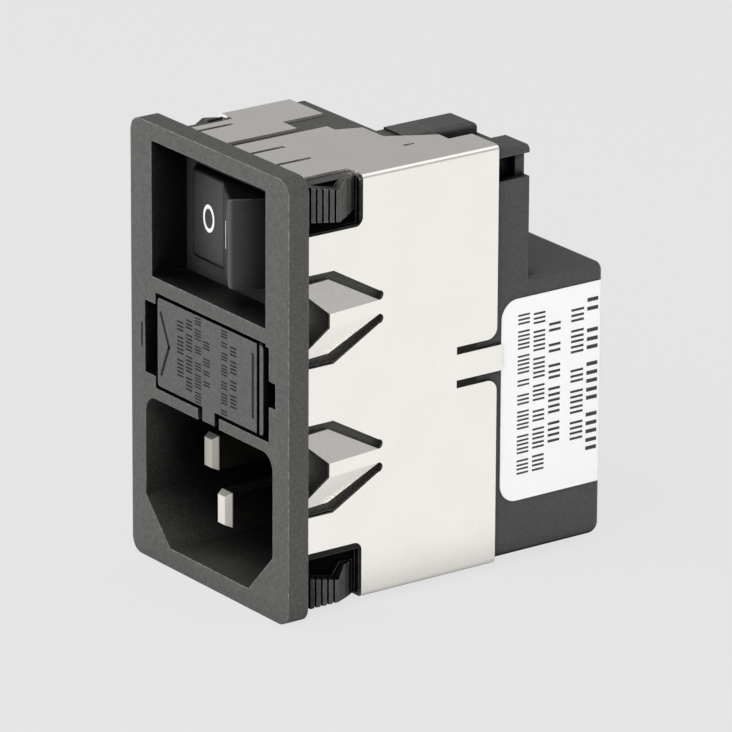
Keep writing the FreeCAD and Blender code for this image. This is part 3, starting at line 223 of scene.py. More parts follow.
@dataclass(frozen=True)
class MouldedPlastic:
    """Thermoplastic with a spark-eroded skin: fine pale flecks, grey edges of chipped wear with a painted
    highlight, and dark hollows of painted shade.
    """

    name: str
    colour: str
    edge_wear_and_highlight_colour: str
    roughness: float
    # Size and depth of the grain, and how strong it is as relief and as flecks.
    grain: float = 0.32
    grain_depth: float = 0.03
    relief: float = 0.8
    fleck: float = 0.3
    fleck_ends: tuple[float, float] = (0.3, 0.7)
    # Width of the soft edges, how far they turn to look worn and take the painted highlight, and the size
    # and least share of the chips.
    edge: float = 0.22
    wear_and_highlight_ends: tuple[float, float] = (0.99, 0.86)
    chip: float = 0.7
    chip_ends: tuple[float, float] = (0.4, 0.65)
    chip_least: float = 0.3
    gloss: float = 0.5
    # Reach of the hollows, the open share at which their painted shade is darkest and gone, and the light
    # left in them.
    hollow: float = 16.0
    hollow_ends: tuple[float, float] = (0.45, 0.95)
    hollow_shade: float = 0.02
    # Faces that look out past their own moulding keep all of their light, also near the floor.
    bare_faces: bool = False
    bare_ends: tuple[float, float] = (0.93, 1.0)
    # Side planes under a sheet: their distance from the middle and the painted light or shade that each one
    # gets.
    covered: tuple[tuple[float, float], ...] = ()
    cover_depth: float = 0.04
    slit: Slit | None = None

    def shade_hollows(self, tree: Tree) -> Socket:
        """Find the painted shade of the skin: the share of its colour and gloss left in hollows and near
        other parts.

        Args:
            tree: Node tree of the material.

        Returns:
            A share that is less in hollows.
        """
        reach = {"Distance": self.hollow * MM}
        near = add(tree, "ShaderNodeAmbientOcclusion", reach, samples=8)
        share = spread(tree, near.outputs["AO"], self.hollow_ends, self.hollow_shade)
        if self.bare_faces:
            own = add(tree, "ShaderNodeAmbientOcclusion", reach, samples=8, only_local=True)
            bare = spread(tree, own.outputs["AO"], self.bare_ends)
            share = compute(tree, "MAXIMUM", share, bare)
        return share

    def shade_covered(self, tree: Tree, place: Socket, share: Socket) -> Socket:
        """Paint the shade and light on the side faces that lie close under a sheet and its slots.

        Args:
            tree: Node tree of the material.
            place: Object coordinates.
            share: Share of light that reaches the skin.

        Returns:
            That share, or the plane's own share on each covered plane behind the flange.
        """
        parts = add(tree, "ShaderNodeSeparateXYZ", {"Vector": place})
        across = compute(tree, "ABSOLUTE", parts.outputs["X"])
        behind = compute(tree, "GREATER_THAN", parts.outputs["Y"], 0.0)
        for plane, light in self.covered:
            flush = compute(tree, "COMPARE", across, plane * MM, self.cover_depth * MM)
            hidden = compute(tree, "MULTIPLY", flush, behind)
            inputs = {"Factor": hidden, "A": share, "B": light}
            share = add(tree, "ShaderNodeMix", inputs).outputs["Result"]
        return share

    def shade_slit(self, tree: Tree, place: Socket, share: Socket) -> Socket:
        """Paint the slit in the front as shade: no light in it.

        Args:
            tree: Node tree of the material.
            place: Object coordinates.
            share: Share of light that reaches the skin.

        Returns:
            That share, or none in the slit.
        """
        slit = self.slit
        middle, half = (slit.low + slit.high) / 2, (slit.high - slit.low) / 2
        parts = add(tree, "ShaderNodeSeparateXYZ", {"Vector": place})
        beside = compute(tree, "COMPARE", parts.outputs["X"], slit.place * MM, slit.width / 2 * MM)
        along = compute(tree, "COMPARE", parts.outputs["Z"], middle * MM, half * MM)
        front = compute(tree, "LESS_THAN", parts.outputs["Y"], slit.behind * MM)
        cut = compute(tree, "MULTIPLY", compute(tree, "MULTIPLY", beside, along), front)
        return compute(tree, "MULTIPLY", share, compute(tree, "SUBTRACT", 1.0, cut))

    def colour_worn_and_lit_edges(self, tree: Tree, place: Socket, soft: Socket) -> Socket:
        """Tint the skin paler along its edges: chipped wear and a painted highlight.

        Args:
            tree: Node tree of the material.
            place: Object coordinates.
            soft: Normal of the softened edges.

        Returns:
            Colour of the skin in full light.
        """
        flat = add(tree, "ShaderNodeNewGeometry").outputs["True Normal"]
        turn = add(tree, "ShaderNodeVectorMath", {0: soft, 1: flat}, operation="DOT_PRODUCT")
        wear_and_highlight_mask = spread(tree, turn.outputs["Value"], self.wear_and_highlight_ends)
        chips = spread(tree, noise(tree, place, self.chip), self.chip_ends, self.chip_least)
        worn_and_lit = compute(tree, "MULTIPLY", wear_and_highlight_mask, chips)
        return blend(tree, worn_and_lit, linear(self.colour), linear(self.edge_wear_and_highlight_colour))

    def build(self) -> bpy.types.Material:
        """Make the material.

        Returns:
            A material whose edges are softened and paler than its faces with wear and a painted highlight,
            and whose hollows are darker with painted shade.
        """
        material, tree = new_material(self.name)
        place = object_place(tree)
        grain = noise(tree, place, self.grain, detail=3.0)
        soft = add(tree, "ShaderNodeBevel", {"Radius": self.edge * MM}, samples=6).outputs["Normal"]
        tint = self.colour_worn_and_lit_edges(tree, place, soft)
        fleck = spread(tree, grain, self.fleck_ends, 1 - self.fleck, 1 + self.fleck)
        share = self.shade_hollows(tree)
        if self.covered:
            share = self.shade_covered(tree, place, share)
        if self.slit:
            share = self.shade_slit(tree, place, share)
        # Painted shade: the share of light dims both the colour and the gloss of the skin.
        shade = compute(tree, "MULTIPLY", fleck, share)
        gloss = compute(tree, "MULTIPLY", share, self.gloss)
        skin = add(tree, "ShaderNodeMix", {"Factor": 1.0, "A": tint, "B": shade}, data_type="RGBA",
                   blend_type="MULTIPLY")
        bump = add(tree, "ShaderNodeBump", {"Height": grain, "Distance": self.grain_depth * MM,
                                            "Strength": self.relief, "Normal": soft})
        shader = add(tree, "ShaderNodeBsdfPrincipled", {
            "Base Color": skin.outputs["Result"], "Roughness": self.roughness,
            "Specular IOR Level": gloss, "Normal": bump.outputs["Normal"]})
        close_material(tree, shader)
        return material


@dataclass(frozen=True)
class PlatedMetal:
    """Plated sheet or stamping: a satin mirror with faint clouds and a fine rolled speckle."""

    name: str
    colour: str
    dull_colour: str
    roughness: float
    speckle: float = 0.5
    speckle_depth: float = 0.004
    relief: float = 0.6
    unevenness: float = 0.15
    cloud: float = 6.0
    cloud_roughness: float = 0.65
    edge: float = 0.08
    # Y in mm in front of which the metal is ground and rougher.
    tip: float | None = None
    tip_roughness: float = 0.5

    def grind_tip(self, tree: Tree, place: Socket, rough: Socket) -> Socket:
        """Make the metal rougher in front of the tip's end.

        Args:
            tree: Node tree of the material.
            place: Object coordinates.
            rough: Roughness elsewhere.

        Returns:
            Roughness of the whole piece.
        """
        depth = add(tree, "ShaderNodeSeparateXYZ", {"Vector": place}).outputs["Y"]
        ground = compute(tree, "LESS_THAN", depth, self.tip * MM)
        inputs = {"Factor": ground, "A": rough, "B": self.tip_roughness}
        return add(tree, "ShaderNodeMix", inputs).outputs["Result"]

    def build(self) -> bpy.types.Material:
        """Make the material.

        Returns:
            A metal whose roughness and colour drift a little over the sheet.
        """
        material, tree = new_material(self.name)
        place = object_place(tree)
        cloud = noise(tree, place, self.cloud, detail=4.0, roughness=self.cloud_roughness)
        speckle = noise(tree, place, self.speckle)
        tint = blend(tree, cloud, linear(self.colour), linear(self.dull_colour))
        rough = spread(tree, speckle, (0.0, 1.0), self.roughness * (1 - self.unevenness),
                       self.roughness * (1 + self.unevenness))
        if self.tip is not None:
            rough = self.grind_tip(tree, place, rough)
        soft = add(tree, "ShaderNodeBevel", {"Radius": self.edge * MM}, samples=4).outputs["Normal"]
        bump = add(tree, "ShaderNodeBump", {"Height": speckle, "Distance": self.speckle_depth * MM,
                                            "Strength": self.relief, "Normal": soft})
        shader = add(tree, "ShaderNodeBsdfPrincipled", {
            "Base Color": tint, "Metallic": 1.0, "Roughness": rough, "Normal": bump.outputs["Normal"]})
        close_material(tree, shader)
        return material


@dataclass(frozen=True)
class EvenCoat:
    """Paint, film, lacquer or fired body: one even colour with a faint drift and its own gloss."""

    name: str
    colour: str
    roughness: float
    drift: float = 2.0
    dip: float = 0.92

    def build(self) -> bpy.types.Material:
        """Make the material.

        Returns:
            A coat whose colour drifts a little over the piece.
        """
        material, tree = new_material(self.name)
        drift = noise(tree, object_place(tree), self.drift)
        red, green, blue, alpha = linear(self.colour)
        low = (red * self.dip, green * self.dip, blue * self.dip, alpha)
        tint = blend(tree, drift, linear(self.colour), low)
        shader = add(tree, "ShaderNodeBsdfPrincipled", {"Base Color": tint, "Roughness": self.roughness})
        close_material(tree, shader)
        return material


@dataclass(frozen=True)
class FuseGlass:
    """Drawn glass tube: clear, with a faint unevenness from the drawing."""

    name: str = "drawn soda glass"
    roughness: float = 0.03
    refraction: float = 1.52
    draw: float = 3.0
    draw_depth: float = 0.01
    relief: float = 0.2

    def build(self) -> bpy.types.Material:
        """Make the material.

        Returns:
            A clear glass.
        """
        material, tree = new_material(self.name)
        draw = noise(tree, object_place(tree), self.draw)
        bump = add(tree, "ShaderNodeBump", {"Height": draw, "Distance": self.draw_depth * MM,
                                            "Strength": self.relief})
        shader = add(tree, "ShaderNodeBsdfPrincipled", {
            "Roughness": self.roughness, "IOR": self.refraction, "Transmission Weight": 1.0,
            "Normal": bump.outputs["Normal"]})
        close_material(tree, shader)
        return material


@dataclass(frozen=True)
class WoundWire:
    """Enamelled copper laid turn by turn round the ring core: bright ridges with dark gaps."""

    name: str
    colour: str
    gap_colour: str
    centre: Vector
    turns: int = 60
    ridge_height: float = 0.25
    roughness: float = 0.3

    def build(self) -> bpy.types.Material:
        """Make the material.

        Returns:
            A copper whose turns run out from the core's axis.
        """
        material, tree = new_material(self.name)
        middle = add(tree, "ShaderNodeVectorMath", {0: object_place(tree), 1: tuple(self.centre)},
                     operation="SUBTRACT")
        upright = add(tree, "ShaderNodeMapping", {"Vector": middle.outputs["Vector"],
                                                  "Rotation": (math.pi / 2, 0, 0)})
        angle = add(tree, "ShaderNodeTexGradient", {"Vector": upright.outputs["Vector"]},
                    gradient_type="RADIAL")
        phase = compute(tree, "MULTIPLY", angle.outputs["Fac"], self.turns * math.tau)
        ridge = spread(tree, compute(tree, "SINE", phase), (-1.0, 1.0))
        tint = blend(tree, ridge, linear(self.gap_colour), linear(self.colour))
        bump = add(tree, "ShaderNodeBump", {"Height": ridge, "Distance": self.ridge_height * MM})
        shader = add(tree, "ShaderNodeBsdfPrincipled", {
            "Base Color": tint, "Metallic": 1.0, "Roughness": self.roughness,
            "Normal": bump.outputs["Normal"]})
        close_material(tree, shader)
        return material


Finish = MouldedPlastic | PlatedMetal | EvenCoat | FuseGlass | WoundWire

# Side planes of the front moulding under the shield: distance from the middle in mm and share of painted
# light, dark as painted shade on the latch pocket floor and body side.
LATCH_POCKET_FLOOR = (12.5, 0.03)
TONGUE_POCKET_FLOOR = (12.6, 1.0)
BODY_SIDE = (13.3, 0.25)
# Slit in the flange beside the drawer's left finger slot, painted as shade.
FLANGE_SLIT = Slit(-12.9, 0.26, -0.8, 2.0, CAD_BOX[0].y / MM + 0.05)

# Glass-filled polyamide with a spark-eroded skin: a matt charcoal that greys along its edges with wear and
# a painted highlight, with painted shade in its hollows, under the shield and in the flange slit.
HOUSING_POLYAMIDE = MouldedPlastic("spark-eroded black polyamide", "#444341", "#8a8987", 0.52,
                                   hollow_shade=0.05, bare_faces=True,
                                   covered=(LATCH_POCKET_FLOOR, BODY_SIDE, TONGUE_POCKET_FLOOR),
                                   slit=FLANGE_SLIT)
CASE_POLYAMIDE = MouldedPlastic("moulded black polyamide case", "#3d3d3d", "#5a5a58", 0.5,
                                grain_depth=0.018, fleck=0.2, hollow=3.0)
# Polycarbonate rocker: a finer skin, a little darker and glossier than the flange, with a long reach of
# painted shade from the well round it and wide pale edges of wear and painted highlight.
ROCKER_POLYCARBONATE = MouldedPlastic("satin black polycarbonate", "#3e3e3e", "#8a8a8a", 0.4, grain=0.2,
                                      grain_depth=0.012, edge=0.35, fleck=0.15, hollow=12.0,
                                      hollow_shade=0.1)
SWITCH_POLYAMIDE = MouldedPlastic("black polyamide switch moulding", "#3c3c3c", "#505050", 0.5, fleck=0.15,
                                  hollow=3.0, hollow_shade=0.3)
DRAWER_POLYAMIDE = MouldedPlastic("fine-grained black polyamide drawer", "#444443", "#666664", 0.5,
                                  grain=0.26)
# Letters and marks cut into the mouldings: they are drawn as flush near-black bars, the painted shadow of
# their floors.
ENGRAVING = EvenCoat("shadowed engraving", "#040404", 0.95)
# Tin-plated steel sheet: a satin grey-white mirror that takes the colour of the studio round it.
TIN_PLATE = PlatedMetal("tin-plated steel sheet", "#fdfaf5", "#f3f0ea", 0.28, speckle_depth=0.006,
                        edge=0.04)
# Nickel on brass: a smoother and slightly yellow mirror with ground tips.
NICKEL_BLADE = PlatedMetal("nickel-plated brass blade", "#efece4", "#e0dcd2", 0.16, speckle_depth=0.002)
CONTACT_BRASS = PlatedMetal("rolled brass strip", "#d8b667", "#c39f55", 0.3, speckle_depth=0.002)
SPRING_STEEL = PlatedMetal("drawn spring steel", "#b9b9b8", "#a3a3a2", 0.28, edge=0.03)
FUSE_CAP = PlatedMetal("nickel-plated fuse cap", "#dad7d0", "#cbc7be", 0.2, speckle_depth=0.001)
FUSE_WIRE = PlatedMetal("tinned fuse wire", "#cfcfcd", "#bdbdbb", 0.3, edge=0.02)
# White film with a satin face, and the marks printed or painted in even colour.
LABEL_FILM = EvenCoat("white polyester label film", "#ffffff", 0.4, drift=8.0, dip=0.98)
LABEL_INK = EvenCoat("black thermal print", "#2c2c2c", 0.5)
MARK_PAINT = EvenCoat("white pad-printed ink", "#e8e8e8", 0.45, dip=0.97)
PLUNGER_ACETAL = EvenCoat("white acetal", "#ebe9e3", 0.35, dip=0.96)
BOARD_LAMINATE = EvenCoat("green glass-epoxy laminate", "#2f6b3c", 0.4, drift=0.8)
CORE_FERRITE = EvenCoat("sintered grey ferrite", "#3f4143", 0.6, drift=0.6, dip=0.8)
X_CAPACITOR_CASE = EvenCoat("yellow capacitor case", "#d9b23a", 0.35)
Y_CAPACITOR_COAT = EvenCoat("blue epoxy dip", "#2c6fb3", 0.25)
RESISTOR_LACQUER = EvenCoat("tan resistor lacquer", "#c9a77c", 0.35)


def give_finish(finish: Finish, nodes: tuple[str, ...]) -> None:
    """Give some CAD nodes one finish.

    Args:
        finish: What they are made of or coated with.
        nodes: Names of the nodes.
    """
    material = finish.build()
    for name in nodes:
        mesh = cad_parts[name].data
        mesh.materials.clear()
        mesh.materials.append(material)
        log.info("%s: %s", name, finish.name)


def mesh_object(name: str, shape: bmesh.types.BMesh, finish: Finish, body: str) -> bpy.types.Object:
    """Turn a finished bmesh into a dressed piece that rides a body.

    Args:
        name: Name of the piece.
        shape: Its mesh, in metres in the frame of the part. It is freed here.
        finish: What it is coated with.
        body: CAD body that carries it.

    Returns:
        The new object.
    """
    mesh = bpy.data.meshes.new(name)
    bmesh.ops.recalc_face_normals(shape, faces=shape.faces)
    shape.to_mesh(mesh)
    shape.free()
    mesh.materials.append(finish.build())
    piece = bpy.data.objects.new(name, mesh)
    bpy.context.scene.collection.objects.link(piece)
    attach(piece, body)
    log.info("%s: %d faces on %s", name, len(mesh.polygons), body)
    return piece


def add_block(shape: bmesh.types.BMesh, low: tuple, high: tuple, turn: float = 0.0,
              across: str = "Y") -> None:
    """Add a block between two corners.

    Args:
        shape: Mesh that takes the block.
        low: Lowest corner in mm.
        high: Highest corner in mm.
        turn: Angle in radians about an axis through the block's middle.
        across: That axis.
    """
    first, last = Vector(low) * MM, Vector(high) * MM
    size = last - first
    matrix = (Matrix.Translation((first + last) / 2) @ Matrix.Rotation(turn, 4, across)
              @ Matrix.Diagonal((*size, 1.0)))
    bmesh.ops.create_cube(shape, size=1.0, matrix=matrix)


@dataclass(frozen=True)
class Line:
    """Line of stand-in words that runs down a face, in mm."""

    middle: float
    top: float
    height: float
    pitch: float
    words: tuple[int, ...]


@dataclass(frozen=True)
class Lettering:
    """Plain bars that stand for words, in lines that run down a face.

    The face looks along X with letters upright along Y, or along Y with letters upright along X.
    """

    reach: tuple[float, float]
    faces_y: bool = False
    letter_share: float = 0.74
    stroke_share: float = 0.22
    word_gap: float = 0.8
    # How far the choice of strokes moves on from word to word, and how often a letter has one bar.
    word_shift: int = 3
    thin_every: int = 3

    def write(self, shape: bmesh.types.BMesh, line: Line) -> None:
        """Add one line of words.

        Args:
            shape: Mesh of the print.
            line: Where the line runs and what its words are.
        """
        top = line.top
        for order, word in enumerate(line.words):
            for index in range(word):
                self.add_letter(shape, line, top - index * line.pitch, index + self.word_shift * order)
            top -= (word + self.word_gap) * line.pitch

    def add_letter(self, shape: bmesh.types.BMesh, line: Line, top: float, pick: int) -> None:
        """Add what stands for one letter: one or two plain bars.

        Args:
            shape: Mesh of the print.
            line: Line that the letter belongs to.
            top: Z where the letter starts in mm.
            pick: Number that picks its strokes.
        """
        foot, head = line.middle - line.height / 2, line.middle + line.height / 2
        width, thick = line.pitch * self.letter_share, line.pitch * self.stroke_share
        strokes = [(foot, head, top - thick, top)]
        if pick % self.thin_every != 1:
            strokes.append((foot, head, top - width, top - width + thick))
        for first, last, bottom, roof in strokes:
            if self.faces_y:
                add_block(shape, (first, self.reach[0], bottom), (last, self.reach[1], roof))
            else:
                add_block(shape, (self.reach[0], first, bottom), (self.reach[1], last, roof))


@dataclass
class SubAssembly:
    """Group of CAD nodes with the finish that each one has."""

    coats: dict[Finish, tuple[str, ...]]

    def dress(self) -> None:
        """Give every CAD node of the group its finish."""
        for finish, nodes in self.coats.items():
            give_finish(finish, nodes)

    def build(self) -> None:
        """Add the pieces that the CAD leaves to the looks. None here."""


@dataclass
class Housing(SubAssembly):
    """Front moulding with its three inlet blades."""

    coats: dict[Finish, tuple[str, ...]] = field(default_factory=lambda: {
        HOUSING_POLYAMIDE: ("front_housing",),
    })
    blades: tuple[str, ...] = ("line_pin", "neutral_pin", "earth_pin")
    # Ground length of the tips.
    tip_length: float = 0.9

    def build(self) -> None:
        """Plate the blades and grind their tips."""
        for name in self.blades:
            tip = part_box(name)[0].y / MM + self.tip_length
            give_finish(replace(NICKEL_BLADE, tip=tip), (name,))


@dataclass
class Shield(SubAssembly):
    """Folded plated sheet round the body."""

    coats: dict[Finish, tuple[str, ...]] = field(default_factory=lambda: {TIN_PLATE: ("shield",)})


@dataclass
class RearCase(SubAssembly):
    """Filter case with its label, whose print is five broken columns of strokes."""

    coats: dict[Finish, tuple[str, ...]] = field(default_factory=lambda: {
        CASE_POLYAMIDE: ("rear_case",),
        LABEL_FILM: ("label",),
    })
    ink: float = 0.02
    # Each column's distance from the label's rear end and from its top, its letter height, pitch and words.
    columns: tuple = (Line(1.6, 1.8, 1.5, 1.99, (1, 8)), Line(3.7, 2.7, 1.75, 1.23, (5, 7)),
                      Line(6.85, 3.7, 1.6, 1.36, (1, 1, 7)), Line(9.0, 2.1, 1.6, 1.06, (10, 7)),
                      Line(11.15, 1.9, 1.6, 0.96, (9, 10)))

    def build(self) -> None:
        """Print the label."""
        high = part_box("label")[1] / MM
        shape = bmesh.new()
        letters = Lettering((high.x - self.ink, high.x + self.ink))
        for column in self.columns:
            letters.write(shape, replace(column, middle=high.y - column.middle, top=high.z - column.top))
        mesh_object("label_print", shape, LABEL_INK, "module")


@dataclass
class Switch(SubAssembly):
    """Rocker switch with its works, and the painted ring and bar on the rocker."""

    coats: dict[Finish, tuple[str, ...]] = field(default_factory=lambda: {
        ROCKER_POLYCARBONATE: ("rocker",),
        SWITCH_POLYAMIDE: ("switch_housing", "switch_base"),
        PLUNGER_ACETAL: ("upper_plunger", "lower_plunger"),
        SPRING_STEEL: ("upper_plunger_spring", "lower_plunger_spring"),
        CONTACT_BRASS: ("upper_lever", "lower_lever", "upper_pivot_contact", "lower_pivot_contact",
                        "line_terminal", "neutral_terminal", "earth_terminal"),
    })
    # Size of the marks, their strokes and paint, and their places along X and Z.
    ring_width: float = 2.25
    ring_height: float = 3.2
    ring_segments: int = 40
    stroke: float = 0.45
    paint: float = 0.015
    places: dict[Side, float] = field(default_factory=lambda: {Side.OFF: -5.4, Side.ON: 0.3})
    level: float = 15.3

    def build(self) -> None:
        """Paint the marks on both halves of the rocker."""
        self.mark(Side.OFF)
        self.mark(Side.ON)

    def face_frame(self, side: Side) -> Matrix:
        """Find the rocker's face under a mark.

        Args:
            side: Half of the rocker.

        Returns:
            Matrix whose Z stands out of the face and whose Y runs up it.
        """
        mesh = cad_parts["rocker"].data
        tree = BVHTree.FromPolygons([vertex.co for vertex in mesh.vertices],
                                    [polygon.vertices for polygon in mesh.polygons])
        start = Vector((self.places[side] * MM, CAD_BOX[0].y - MM, self.level * MM))
        point, normal, _, _ = tree.ray_cast(start, Vector((0, 1, 0)))
        outward = normal if normal.y < 0 else -normal
        upward = Vector((0, 0, 1))
        rightward = upward.cross(outward).normalized()
        matrix = Matrix((rightward, upward, outward)).transposed().to_4x4()
        return Matrix.Translation(point) @ matrix

    def mark(self, side: Side) -> None:
        """Paint one mark.

        Args:
            side: Half of the rocker, which gives the mark its form.
        """
        shape = bmesh.new()
        if side is Side.OFF:
            bmesh.ops.create_circle(shape, cap_ends=True, segments=self.ring_segments,
                                    radius=self.ring_height / 2 * MM)
            ring = bmesh.ops.inset_region(shape, faces=shape.faces[:], thickness=self.stroke * MM,
                                          use_even_offset=True, use_boundary=True)
            inner = [piece for piece in shape.faces if piece not in ring["faces"]]
            bmesh.ops.delete(shape, geom=inner, context="FACES")
            bmesh.ops.scale(shape, vec=(self.ring_width / self.ring_height, 1, 1), verts=shape.verts)
        else:
            bmesh.ops.create_grid(shape, x_segments=1, y_segments=1, size=0.5)
            bmesh.ops.scale(shape, vec=(self.stroke * MM, self.ring_height * MM, 1), verts=shape.verts)
        wall = bmesh.ops.extrude_face_region(shape, geom=shape.faces[:])
        raised = [piece for piece in wall["geom"] if isinstance(piece, bmesh.types.BMVert)]
        bmesh.ops.translate(shape, vec=(0, 0, self.paint * MM), verts=raised)
        bmesh.ops.transform(shape, matrix=self.face_frame(side), verts=shape.verts)
        mesh_object(f"rocker_{side.value}_mark", shape, MARK_PAINT, "rocker")


@dataclass
class FuseDrawer(SubAssembly):
    """Drawer with two fuses, and the marks cut into its front, drawn as near-black bars of painted shadow.
    """

    coats: dict[Finish, tuple[str, ...]] = field(default_factory=lambda: {
        DRAWER_POLYAMIDE: ("fuse_drawer",),
        FuseGlass(): ("left_fuse_tube", "right_fuse_tube"),
        FUSE_CAP: ("left_fuse_caps", "right_fuse_caps"),
        FUSE_WIRE: ("left_fuse_wire", "right_fuse_wire"),
        CONTACT_BRASS: ("front_left_fuse_contact", "front_right_fuse_contact", "rear_left_fuse_contact",
                        "rear_right_fuse_contact"),
    })
    rise: float = 0.012
    lines: tuple = (Line(-5.4, 4.15, 1.2, 0.89, (8,)), Line(-3.7, 4.75, 1.2, 0.84, (10,)),
                    Line(-2.0, 5.5, 1.2, 0.69, (4, 2, 7)), Line(-0.35, 3.15, 1.2, 0.7, (2, 3, 1)),
                    Line(3.05, 5.45, 1.15, 0.69, (3, 4, 4, 1)), Line(4.8, 4.0, 1.15, 0.82, (4, 4)))
    chevron: tuple = ((-9.2, 4.0), (-7.6, 0.5), (-9.1, -3.05))
    line_place: float = 8.5
    line_ends: tuple = (-2.9, 4.2)
    line_width: float = 0.4

    def build(self) -> None:
        """Add the letters, the chevron and the straight line as near-black bars: the painted shadow of
        marks cut into the front.
        """
        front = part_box("fuse_drawer")[0].y / MM
        reach = (front - self.rise, front + self.rise)
        shape = bmesh.new()
        letters = Lettering(reach, faces_y=True)
        for line in self.lines:
            letters.write(shape, line)
        mesh_object("drawer_text_bars", shape, ENGRAVING, "drawer")
        shape = bmesh.new()
        for first, last in zip(self.chevron, self.chevron[1:]):
            self.add_leg(shape, reach, first, last)
        mesh_object("drawer_chevron_mark", shape, ENGRAVING, "drawer")
        shape = bmesh.new()
        self.add_leg(shape, reach, *[(self.line_place, end) for end in self.line_ends])
        mesh_object("drawer_line_mark", shape, ENGRAVING, "drawer")

    def add_leg(self, shape: bmesh.types.BMesh, reach: tuple[float, float], first: tuple,
                last: tuple) -> None:
        """Add one straight bar of a mark.

        Args:
            shape: Mesh of the mark.
            reach: Front and back of the bar along Y, in mm.
            first: X and Z of its one end in mm.
            last: X and Z of its other end in mm.
        """
        middle = ((first[0] + last[0]) / 2, (first[1] + last[1]) / 2)
        run, drop = last[0] - first[0], last[1] - first[1]
        half = self.line_width / 2
        reach_up = math.hypot(run, drop) / 2 + half
        add_block(shape, (middle[0] - half, reach[0], middle[1] - reach_up),
                  (middle[0] + half, reach[1], middle[1] + reach_up), turn=math.atan2(run, drop))


@dataclass
class Filter(SubAssembly):
    """Board with the choke, the capacitors and the discharge resistor."""

    coats: dict[Finish, tuple[str, ...]] = field(default_factory=lambda: {
        BOARD_LAMINATE: ("filter_board",),
        CORE_FERRITE: ("choke_core",),
        X_CAPACITOR_CASE: ("x_capacitor",),
        Y_CAPACITOR_COAT: ("upper_y_capacitor", "lower_y_capacitor"),
        RESISTOR_LACQUER: ("discharge_resistor",),
    })

    def build(self) -> None:
        """Wind the choke: its copper turns run out from the middle of the core."""
        low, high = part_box("choke_core")
        wire = WoundWire("enamelled copper wire", "#c07038", "#5a2f16", ((low + high) / 2).freeze())
        give_finish(wire, ("left_choke_winding", "right_choke_winding"))


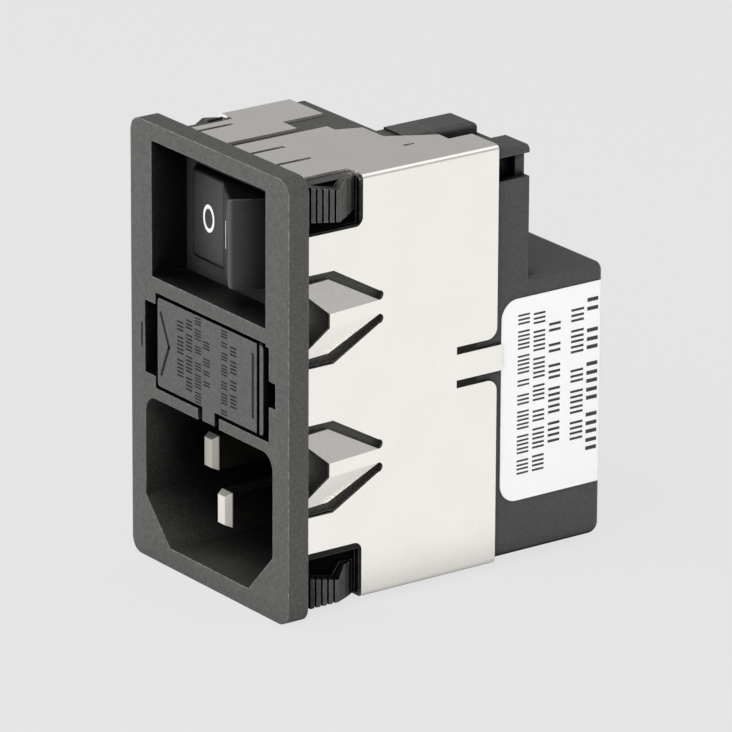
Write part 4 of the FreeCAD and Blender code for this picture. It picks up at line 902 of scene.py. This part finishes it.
@dataclass
class Studio:
    """Pale floor, soft lamps, a plain room and the camera of the photograph."""

    floor_colour: str = "#e5e5e5"
    floor_half: float = 3000.0
    backdrop_share: float = 0.93
    mirror_glow: float = 0.22
    contact: float = 12.0
    ceiling_grey: float = 0.41
    wall_grey: float = 0.78
    wall_top: float = 0.02
    ceiling_low: float = 0.16
    # Lamp name, place, width and power.
    lamps: tuple = (("key", (330.0, -500.0, 420.0), 800.0, 5.2),
                    ("fill", (-420.0, -600.0, 380.0), 600.0, 3.2),
                    ("rim", (230.0, 380.0, 520.0), 480.0, 0.55))
    # Camera, from the fit of the inlet and the flange in the photo.
    image_width: int = 732
    focal_pixels: float = 7501.0
    azimuth: float = 54.11
    elevation: float = 19.33
    roll: float = 0.28
    shift_right: float = 15.03
    shift_up: float = 0.03
    distance: float = 822.4
    sensor: float = 36.0

    def build(self) -> None:
        """Build the whole studio."""
        self.lay_floor()
        self.paint_room()
        for name, place, width, power in self.lamps:
            self.hang_lamp(name, place, width, power)
        self.set_camera()
        bpy.context.scene.view_settings.view_transform = "Standard"

    def lay_floor(self) -> None:
        """Lay the floor under the flange's lower edge, pale to the eye and soft with shadow."""
        shape = bmesh.new()
        level = Matrix.Translation((0, 0, CAD_BOX[0].z))
        bmesh.ops.create_grid(shape, x_segments=1, y_segments=1, size=self.floor_half * MM, matrix=level)
        mesh = bpy.data.meshes.new("studio_floor")
        shape.to_mesh(mesh)
        shape.free()
        material, tree = new_material("pale studio paper")
        path = add(tree, "ShaderNodeLightPath")
        glossy = path.outputs[Ray.GLOSSY.value]
        seen = compute(tree, "MAXIMUM", path.outputs[Ray.CAMERA.value], glossy)
        seen = compute(tree, "MAXIMUM", seen, path.outputs[Ray.TRANSMISSION.value])
        share = compute(tree, "MULTIPLY", seen, self.backdrop_share)
        paper = add(tree, "ShaderNodeBsdfDiffuse", {"Color": linear(self.floor_colour)})
        # Glossy rays see the floor glow brighter by the mirror glow and darker near the part: painted shade
        # from ambient occlusion in its reflections.
        near = add(tree, "ShaderNodeAmbientOcclusion", {"Distance": self.contact * MM}, samples=8)
        reflected_glow_and_contact_shade = compute(tree, "MULTIPLY_ADD", near.outputs["AO"], 1 + self.mirror_glow, -1.0)
        strength = compute(tree, "MULTIPLY_ADD", glossy, reflected_glow_and_contact_shade, 1.0)
        glow = add(tree, "ShaderNodeEmission", {"Color": linear(self.floor_colour), "Strength": strength})
        mixed = add(tree, "ShaderNodeMixShader", {0: share, 1: paper.outputs[0], 2: glow.outputs[0]})
        close_material(tree, mixed)
        mesh.materials.append(material)
        floor = bpy.data.objects.new("studio_floor", mesh)
        bpy.context.scene.collection.objects.link(floor)

    def paint_room(self) -> None:
        """Paint the room round the floor: pale walls that fall off to a grey ceiling."""
        world = bpy.data.worlds.new("studio_room")
        bpy.context.scene.world = world
        world.use_nodes = True
        tree = world.node_tree
        tree.nodes.clear()
        outward = add(tree, "ShaderNodeTexCoord").outputs["Generated"]
        height = add(tree, "ShaderNodeSeparateXYZ", {"Vector": outward}).outputs["Z"]
        ends = (self.wall_top, self.ceiling_low)
        grey = spread(tree, height, ends, self.wall_grey, self.ceiling_grey)
        light = add(tree, "ShaderNodeBackground", {"Color": grey, "Strength": 1.0})
        add(tree, "ShaderNodeOutputWorld", {"Surface": light.outputs[0]})

    def hang_lamp(self, name: str, place: tuple, width: float, power: float) -> None:
        """Hang a soft lamp that points at the middle of the part.

        Args:
            name: Name of the lamp.
            place: Its place in mm.
            width: Width of its square face in mm.
            power: Its power in watts.
        """
        lamp = bpy.data.lights.new(name, "AREA")
        lamp.size = width * MM
        lamp.energy = power
        holder = bpy.data.objects.new(name, lamp)
        holder.location = Vector(place) * MM
        middle = (CAD_BOX[0] + CAD_BOX[1]) / 2
        holder.rotation_euler = (middle - holder.location).to_track_quat("-Z", "Y").to_euler()
        bpy.context.scene.collection.objects.link(holder)

    def set_camera(self) -> None:
        """Set the camera where the photograph was taken from."""
        turn, lift = math.radians(self.azimuth), math.radians(self.elevation)
        back = Vector((math.sin(turn) * math.cos(lift), -math.cos(turn) * math.cos(lift), math.sin(lift)))
        right = Vector((math.cos(turn), math.sin(turn), 0))
        up = back.cross(right)
        place = (right * self.shift_right + up * self.shift_up + back * self.distance) * MM
        axes = Matrix((right, up, back)).transposed().to_4x4()
        camera = bpy.data.cameras.new("photo_camera")
        camera.sensor_width = self.sensor
        camera.sensor_fit = "HORIZONTAL"
        camera.lens = self.sensor * self.focal_pixels / self.image_width
        holder = bpy.data.objects.new("photo_camera", camera)
        roll = Matrix.Rotation(math.radians(self.roll), 4, "Z")
        holder.matrix_world = Matrix.Translation(place) @ axes @ roll
        bpy.context.scene.collection.objects.link(holder)
        bpy.context.scene.camera = holder


def main() -> None:
    """Dress every sub-assembly, add its marks and set up the studio."""
    logging.basicConfig(level=logging.INFO, format="%(message)s")
    for part in (Housing(), Shield(), RearCase(), Switch(), FuseDrawer(), Filter()):
        part.dress()
        part.build()
    Studio().build()


if __name__ == "__main__":
    main()
